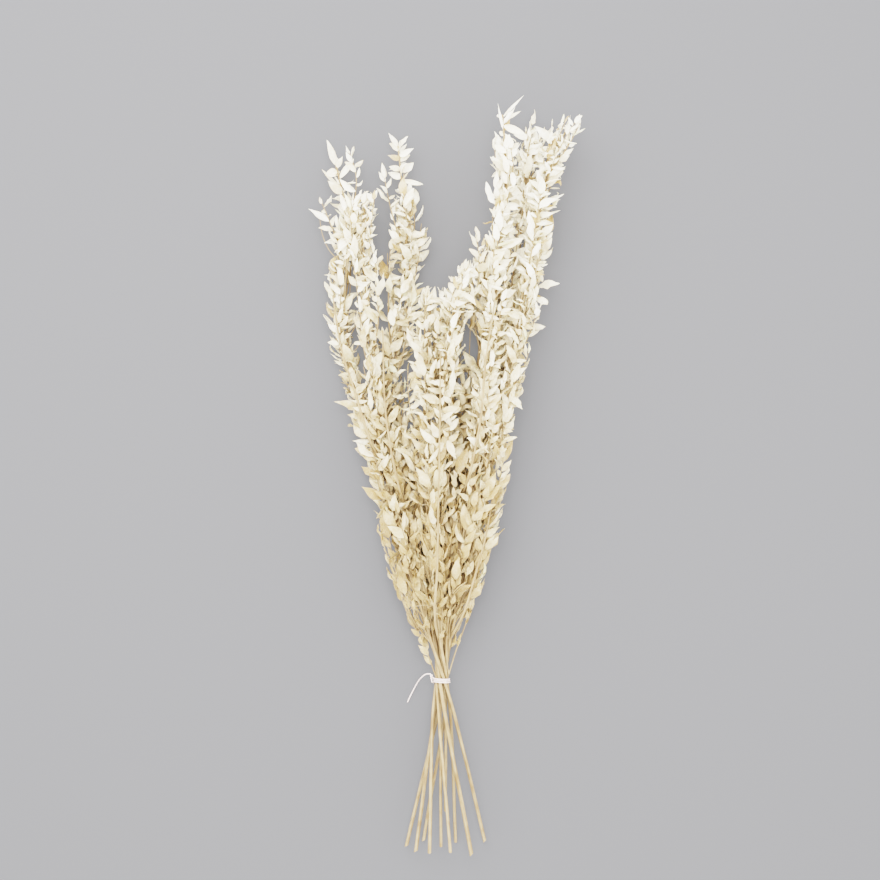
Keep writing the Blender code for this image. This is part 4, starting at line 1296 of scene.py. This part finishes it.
def sweep(points, radii, sides, lobes=0, lobe_depth=0.0, lobe_pitch=1.0, slant=0.0):
    """A round tube along a line, with lobes that wind round it. Gives points, faces and the grain."""
    points = np.asarray(points, float)
    frames, ways = turning_frames(points)
    run = run_along(points)
    angle = 2.0 * math.pi * np.arange(sides) / sides
    wound = lobes * (angle[None] - 2.0 * math.pi * run[:, None] / lobe_pitch)
    reach = np.asarray(radii)[:, None] * (1.0 - lobe_depth * (0.5 - 0.5 * np.cos(wound)))
    cos, sin = np.cos(angle), np.sin(angle)
    out = cos[None, :, None] * frames[:, None, 0] + sin[None, :, None] * frames[:, None, 1]
    rings = points[:, None] + reach[..., None] * out
    rings[0] += ways[0] * (slant * reach[0] * cos)[:, None]
    grain = np.empty(rings.shape)
    grain[..., 0], grain[..., 1], grain[..., 2] = cos, sin, run[:, None] * METRES
    verts = np.concatenate([rings.reshape(-1, 3), points[[0, -1]]])
    ends = np.array([(0.0, 0.0, run[0] * METRES), (0.0, 0.0, run[-1] * METRES)])
    last = (len(points) - 1) * sides
    around = [(k, (k + 1) % sides) for k in range(sides)]
    faces = [(ring + a, ring + b, ring + b + sides, ring + a + sides)
             for ring in range(0, last, sides) for a, b in around]
    for a, b in around:
        faces += [(b, a, len(verts) - 2), (last + a, last + b, len(verts) - 1)]
    return verts, faces, np.concatenate([grain.reshape(-1, 3), ends])


def joined(shapes):
    """Several swept tubes as one list of points, faces and grain."""
    verts, faces, grain, start = [], [], [], 0
    for points, own_faces, own_grain in shapes:
        verts.append(points)
        grain.append(own_grain)
        faces += [tuple(start + index for index in face) for face in own_faces]
        start += len(points)
    return np.concatenate(verts), faces, np.concatenate(grain)


def waver(run, rng):
    """Small sideways drifts along a stem or a twig, as (along the run, axis)."""
    knots = np.arange(0.0, run[-1] + 2 * WOOD_WAVER_EVERY, WOOD_WAVER_EVERY)
    drift = rng.uniform(-WOOD_WAVER, WOOD_WAVER, (len(knots), 3))
    drift[:2] = 0.0
    return np.stack([smooth_values(knots, drift[:, k], run) for k in range(3)], axis=1)


def wood_line(chain, every):
    """A line through a chain at even steps, its corners rounded, and how far along it each point is."""
    count = max(LEAST_WOOD_STEPS, round(chain.length / every))
    run = np.linspace(0.0, chain.length, count + 1)
    corners = np.array(chain.points)
    line = np.stack([np.interp(run, chain.steps, corners[:, k]) for k in range(3)], axis=1)
    for _ in range(ROUNDING_PASSES):
        line[1:-1] = 0.5 * line[1:-1] + 0.25 * (line[:-2] + line[2:])
    return line, run


def wood_shape(chain, radii, nodes, every, sides, slant, rng):
    """A stem or a twig, from one radius to the other, swollen where twigs and leaves leave it."""
    line, run = wood_line(chain, every)
    radii = np.interp(run, np.linspace(0.0, run[-1], len(radii)), radii)
    swell = np.zeros(len(run))
    for node in nodes:
        swell = np.maximum(swell, np.exp(-(((run - node) / NODE_HALF_LENGTH) ** 2)))
    line = line + waver(run, rng)
    line[:, 2] = np.maximum(line[:, 2], radii * (1.0 + NODE_SWELLING))
    return sweep(line, radii * (1.0 + NODE_SWELLING * swell), sides, slant=slant)


def make_wood(stem, chains, material, seed, row):
    """The main stem, its twigs and its fine twigs, in one piece."""
    rng = np.random.default_rng(seed)
    main, *twigs = [chain for chain in chains if chain.owner is stem]
    radii = [FINE_STEM_SHARE * main.at(run)[2] for run in np.linspace(0.0, main.length, STEM_SAMPLES)]
    forks = [twig.points[0].y - stem.start for twig in twigs]
    shapes = [wood_shape(main, radii, forks, STEM_RING_EVERY, STEM_RING_SIDES, CUT_SLANT, rng)]
    for twig in twigs:
        nodes = np.arange(MORE_FIRST, twig.length, MORE_EVERY_ON_FINE)
        radii = (twig.radii[0], twig.radii[-1]) if twig.facing else SOLID_TWIG_RADII
        shapes.append(wood_shape(twig, radii, nodes, TWIG_RING_EVERY, TWIG_RING_SIDES, 0.0, rng))
    points, faces, grain = joined(shapes)
    return row.piece(stem.name + "_wood", points, faces, {"grain": grain}, material, stem.name, "ruscus")


def neck_radius(stems):
    """How far the stems reach from the middle of the neck, within the height of the string's turns."""
    middle = Vector((0.0, 0.0, NECK_HEIGHT))
    farthest = 0.0
    for stem in stems:
        for along in (-STRING_TURNS * STRING_RADIUS, 0.0, STRING_TURNS * STRING_RADIUS):
            place = stem.at(along)
            place.y = 0.0
            farthest = max(farthest, (place - middle).length + stem.radius_at(along))
    return farthest


def knot_centre(stems):
    around = outward(math.radians(KNOT_TURN_DEG)) * (neck_radius(stems) + STRING_CLEARANCE + KNOT_RADIUS)
    return around + Vector((0.0, KNOT_SHIFT, NECK_HEIGHT))


def even_line(points, every):
    """Points at even steps along straight lines from point to point."""
    points = np.array([tuple(point) for point in points])
    run = run_along(points)
    at = np.linspace(0.0, run[-1], round(run[-1] / every) + 1)
    return np.stack([np.interp(at, run, points[:, k]) for k in range(3)], axis=1)


def turns_line(stems):
    """The line of the string: out of the knot, over its turns, round the stems and to the knot again."""
    knot = knot_centre(stems)
    knot_way = outward(math.radians(KNOT_TURN_DEG))
    middle = Vector((0.0, 0.0, NECK_HEIGHT))
    points = [knot] + [middle + knot_way * away + Vector((0.0, along, 0.0)) for away, along in LEAD_IN]
    for step in range(TURN_POINTS * STRING_TURNS + 1):
        turns = step / TURN_POINTS
        along = WINDING_PITCH * (turns - STRING_TURNS / 2)
        way = outward(math.radians(KNOT_TURN_DEG) + 2.0 * math.pi * turns)
        places = [stem.at(along) + way * (stem.radius_at(along) + TURN_RADIUS + STRING_ON_STEMS)
                  for stem in stems]
        points.append(max(places, key=way.dot))
    return even_line(points + [knot], STRING_RING_EVERY)


def twisted_string(line, radius):
    """A string of plies twisted round each other, along a line."""
    return sweep(line, np.full(len(line), radius), STRING_SIDES, PLIES, PLY_DEPTH, PLY_PITCH)


def knot_line(stems):
    """A line that loops through itself three times round the middle of the knot."""
    turn = np.linspace(0.0, 2.0 * math.pi, KNOT_POINTS)
    along = np.sin(turn) + 2.0 * np.sin(2.0 * turn)
    up = np.cos(turn) - 2.0 * np.cos(2.0 * turn)
    away = -KNOT_RISE / KNOT_SCALE * np.sin(3.0 * turn)
    way = outward(math.radians(KNOT_TURN_DEG))
    square = np.array((-way.z, 0.0, way.x))
    loop = along[:, None] * np.array((0.0, 1.0, 0.0)) + up[:, None] * square + away[:, None] * np.array(way)
    return np.array(knot_centre(stems)) + KNOT_SCALE * loop


def make_string(stems, material, row):
    """The turns round the neck, and the knot with the short stub that the tail leaves."""
    turns = twisted_string(turns_line(stems), TURN_RADIUS)
    knot = twisted_string(knot_line(stems), KNOT_STRING_RADIUS)
    first, second = (Vector(point) for point in TAIL_ROUTE[:2])
    past = first + (second - first).normalized() * STUB_PAST
    line = even_line([knot_centre(stems), first, past], STRING_RING_EVERY)
    stub = twisted_string(line, KNOT_STRING_RADIUS)
    for name, shapes in (("tie_turns", [turns]), ("tie_knot", [knot, stub])):
        points, faces, grain = joined(shapes)
        row.piece(name, points, faces, {"grain": grain}, material, "tie_band", "tie_string")


def make_tail(material, row):
    """The loose end of the string, a free cord from the knot down to the surface."""
    route = smooth_route(TAIL_ROUTE, TAIL_POINT_EVERY)
    for point in route:
        point.z = max(point.z, TAIL_RADIUS)
    points, faces, grain = twisted_string(even_line(route, STRING_RING_EVERY), TAIL_RADIUS)
    item = row.piece("tie_tail_string", points, faces, {"grain": grain}, material, "tie_tail", "tie_string")
    path = [row.place(point) for point in route]
    length = sum((b - a).length for a, b in zip(path, path[1:]))
    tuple(path[0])


def linear(colour):
    """A screen colour from 0 to 255 as the linear colour that a shader takes."""
    return tuple(((part / 255.0 + 0.055) / 1.055) ** 2.4 for part in colour) + (1.0,)


class Surface:
    """A Principled material and short ways to add the nodes that colour it."""

    def __init__(self, name, roughness, subsurface=0.0):
        self.material = bpy.data.materials.new(name)
        self.material.use_nodes = True
        self.tree = self.material.node_tree
        self.shader = self.tree.nodes["Principled BSDF"]
        self.shader.inputs["Roughness"].default_value = roughness
        self.shader.inputs["Subsurface Weight"].default_value = subsurface
        self.shader.inputs["Subsurface Radius"].default_value = SCATTER_RADIUS
        self.shader.inputs["Subsurface Scale"].default_value = SCATTER_SCALE
        self.place = self.add("TexCoord").outputs["Object"]

    def add(self, kind, inputs=(), **settings):
        node = self.tree.nodes.new("ShaderNode" + kind)
        for key, value in settings.items():
            setattr(node, key, value)
        for key, value in dict(inputs).items():
            self.feed(node.inputs[key], value)
        return node

    def feed(self, socket, value):
        if isinstance(value, bpy.types.NodeSocket):
            self.tree.links.new(value, socket)
        else:
            socket.default_value = value

    def calc(self, operation, a, b=0.0, clamp=False):
        return self.add("Math", {0: a, 1: b}, operation=operation, use_clamp=clamp).outputs[0]

    def times(self, a, b):
        return self.calc("MULTIPLY", a, b)

    def plus(self, a, b, clamp=False):
        return self.calc("ADD", a, b, clamp)

    def parts(self, attribute):
        """The three numbers of a vector attribute."""
        vector = self.add("Attribute", attribute_name=attribute).outputs["Vector"]
        return list(self.add("SeparateXYZ", {0: vector}).outputs)

    def noise(self, scale, detail=2.0, vector=None):
        inputs = {"Vector": vector or self.place, "Scale": scale, "Detail": detail}
        return self.add("TexNoise", inputs).outputs["Fac"]

    def stretch(self, attribute, scale):
        """A vector attribute scaled along each of its axes."""
        vector = self.add("Attribute", attribute_name=attribute).outputs["Vector"]
        return self.add("Mapping", {"Vector": vector, "Scale": scale}).outputs[0]

    def between(self, value, low, high):
        """0 at low and 1 at high, smoothly."""
        inputs = {"Value": value, "From Min": low, "From Max": high}
        return self.add("MapRange", inputs, interpolation_type="SMOOTHSTEP").outputs[0]

    def mix(self, share, a, b):
        return self.add("Mix", {0: share, 6: a, 7: b}, data_type="RGBA").outputs[2]

    def finish(self, colour, height, depth):
        """Sets the colour, and a bump of that depth in metres."""
        self.feed(self.shader.inputs["Base Color"], colour)
        bump = self.add("Bump", {"Height": height, "Distance": depth, "Strength": BUMP_STRENGTH})
        self.feed(self.shader.inputs["Normal"], bump.outputs[0])
        return self.material


def leaf_material():
    """Bleached leaf: cream to white, with tan and greenish ones, long veins, mottling and browned rims. Its
    white share carries painted light towards the tips and its tan share painted shade low, inside the plumes
    and towards the neck.
    """
    leaf = Surface("bleached_leaf", LEAF_ROUGHNESS, LEAF_SCATTER)
    across, along, drawn = leaf.parts("blade")
    tan, white, green = leaf.parts("tone")
    patches = leaf.noise(PATCH_SCALE, 3.0)
    mottle = leaf.noise(MOTTLE_SCALE, 4.0)
    # White share: own bleaching and painted light towards the tips
    colour = leaf.mix(white, linear(IVORY), linear(WHITE_AND_LIGHT))
    uneven = leaf.plus(leaf.calc("SUBTRACT", patches, PATCH_MIDDLE), leaf.times(mottle, MOTTLE_SHARE))
    # Tan share, made uneven by patches: own colour and painted shade low, inside the plumes and towards the
    # neck
    tan_and_shade_here = leaf.plus(tan, leaf.calc("SUBTRACT", uneven, TAN_SHIFT), clamp=True)
    colour = leaf.mix(tan_and_shade_here, colour, linear(TAN_AND_SHADE))
    colour = leaf.mix(leaf.times(green, patches), colour, linear(PALE_GREEN))
    out = leaf.calc("ABSOLUTE", across)
    veins = leaf.between(leaf.calc("COSINE", leaf.times(out, 2.0 * math.pi * VEINS)), *VEIN_RANGE)
    colour = leaf.mix(leaf.times(veins, VEIN_SHOWS), colour, linear(VEIN))
    edge = leaf.calc("MAXIMUM", leaf.calc("POWER", out, RIM_POWER), leaf.calc("POWER", along, TIP_POWER))
    browned = leaf.times(edge, leaf.between(patches, *RIM_PATCHES))
    colour = leaf.mix(leaf.times(browned, leaf.between(drawn, *RIM_LEAVES)), colour, linear(RIM))
    return leaf.finish(colour, leaf.plus(leaf.times(veins, VEIN_HEIGHT), mottle), LEAF_RELIEF)


def wood_material():
    """Peeled, bleached wood: streaks along the stem and paler pith at the cut ends."""
    wood = Surface("bleached_wood", WOOD_ROUGHNESS)
    streaks = wood.noise(1.0, 4.0, wood.stretch("grain", STREAK_STRETCH))
    patches = wood.noise(PATCH_SCALE, 2.0)
    fibres = wood.noise(1.0, 2.0, wood.stretch("grain", FIBRE_STRETCH))
    shade = wood.plus(wood.times(streaks, STREAK_SHARE), wood.calc("SUBTRACT", patches, STREAK_SHIFT))
    colour = wood.mix(wood.between(shade, *STREAK_RANGE), linear(WOOD_PALE), linear(WOOD_DARK))
    x, y, _ = wood.parts("grain")
    inside = wood.between(wood.plus(wood.times(x, x), wood.times(y, y)), *PITH_RANGE)
    return wood.finish(wood.mix(inside, colour, linear(PITH)), fibres, WOOD_RELIEF)


def string_material():
    """Thin white cotton string, faintly pink between its plies, with short fibres."""
    string = Surface("cotton_string", STRING_ROUGHNESS)
    fibres = string.noise(1.0, 3.0, string.stretch("grain", STRING_STRETCH))
    fuzz = string.noise(MOTTLE_SCALE, 3.0)
    shade = string.between(fibres, *PLY_SHADE_RANGE)
    colour = string.mix(shade, linear(STRING_PALE), linear(STRING_SHADE))
    return string.finish(colour, string.plus(fibres, fuzz), STRING_RELIEF)


def floor_material():
    floor = Surface("pale_floor", FLOOR_ROUGHNESS)
    floor.shader.inputs["Base Color"].default_value = linear(FLOOR_COLOUR)
    floor.shader.inputs["Emission Strength"].default_value = FLOOR_GLOW
    return floor.material


def make_floor():
    half = FLOOR_SIZE / 2
    corners = [(-half, -half, 0.0), (half, -half, 0.0), (half, half, 0.0), (-half, half, 0.0)]
    mesh = bpy.data.meshes.new("floor")
    mesh.from_pydata(corners, [], [(0, 1, 2, 3)])
    mesh.materials.append(floor_material())
    add_object("floor", mesh)


def make_camera(row):
    data = bpy.data.cameras.new("camera")
    data.sensor_width = SENSOR_WIDTH
    data.lens = SENSOR_WIDTH * CAMERA_DISTANCE / (PHOTO_SIDE_PX * MM_PER_PX)
    data.clip_end = CAMERA_SEES_TO
    item = add_object("camera", data)
    item.location = row.place((*VIEW_CENTRE, FOCUS_HEIGHT + CAMERA_DISTANCE))
    bpy.context.scene.camera = item


def make_lights():
    """Soft lights over the tips and from above."""
    for name, (place, size, power) in LIGHTS.items():
        data = bpy.data.lights.new(name, "AREA")
        data.size = size
        data.energy = power
        item = add_object(name, data)
        item.location = place
        item.rotation_euler = (Vector(LIGHTS_AIM) - Vector(place)).to_track_quat("-Z", "Y").to_euler()


def make_sky():
    """A pale sky, brighter at the horizon than straight up, and how the view responds to light."""
    world = bpy.data.worlds.new("studio")
    world.use_nodes = True
    nodes, links = world.node_tree.nodes, world.node_tree.links
    way = nodes.new("ShaderNodeSeparateXYZ")
    links.new(nodes.new("ShaderNodeTexCoord").outputs["Generated"], way.inputs[0])
    strength = nodes.new("ShaderNodeMapRange")
    strength.inputs["To Min"].default_value, strength.inputs["To Max"].default_value = SKY_STRENGTH
    links.new(way.outputs["Z"], strength.inputs["Value"])
    sky = nodes["Background"]
    sky.inputs["Color"].default_value = (1.0, 1.0, 1.0, 1.0)
    links.new(strength.outputs[0], sky.inputs["Strength"])
    bpy.context.scene.world = world
    view = bpy.context.scene.view_settings
    view.view_transform = VIEW_TRANSFORM
    view.look = VIEW_LOOK
    view.exposure = EXPOSURE


def grow(stems):
    """Every chain and every leaf: the solids' own first, in their order, and then the finer ones."""
    chains = [main_chain(stem) for stem in stems]
    for number, stem in enumerate(stems):
        grow_twigs(stem, chains, random.Random(TWIG_SEED + number))
    space = ClearSpace()
    for chain in chains:
        space.add(chain, chain.shape)
    leaves = grow_leaves(chains, space)
    sprigs, bare = grow_sprigs(stems, space)
    fine = sprigs + grow_fine_twigs(stems, space)
    leaves += grow_more_leaves(fine + chains, space)
    return chains + fine + bare, leaves


def make_bundle():
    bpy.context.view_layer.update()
    stems = [Stem(name, *facts) for name, facts in STEMS.items()]
    press_apart(stems)
    row = RowFrame(stems)
    make_camera(row)
    string = string_material()
    make_tail(string, row)
    make_string(stems, string, row)
    chains, leaves = grow(stems)
    wood, leaf = wood_material(), leaf_material()
    for number, stem in enumerate(stems):
        make_wood(stem, chains, wood, FORM_SEED + number, row)
        own = [blade for blade in leaves if blade.owner is stem]
        make_leaves(stem, own, leaf, FORM_SEED + number, row)
    make_floor()
    make_lights()
    make_sky()


make_bundle()
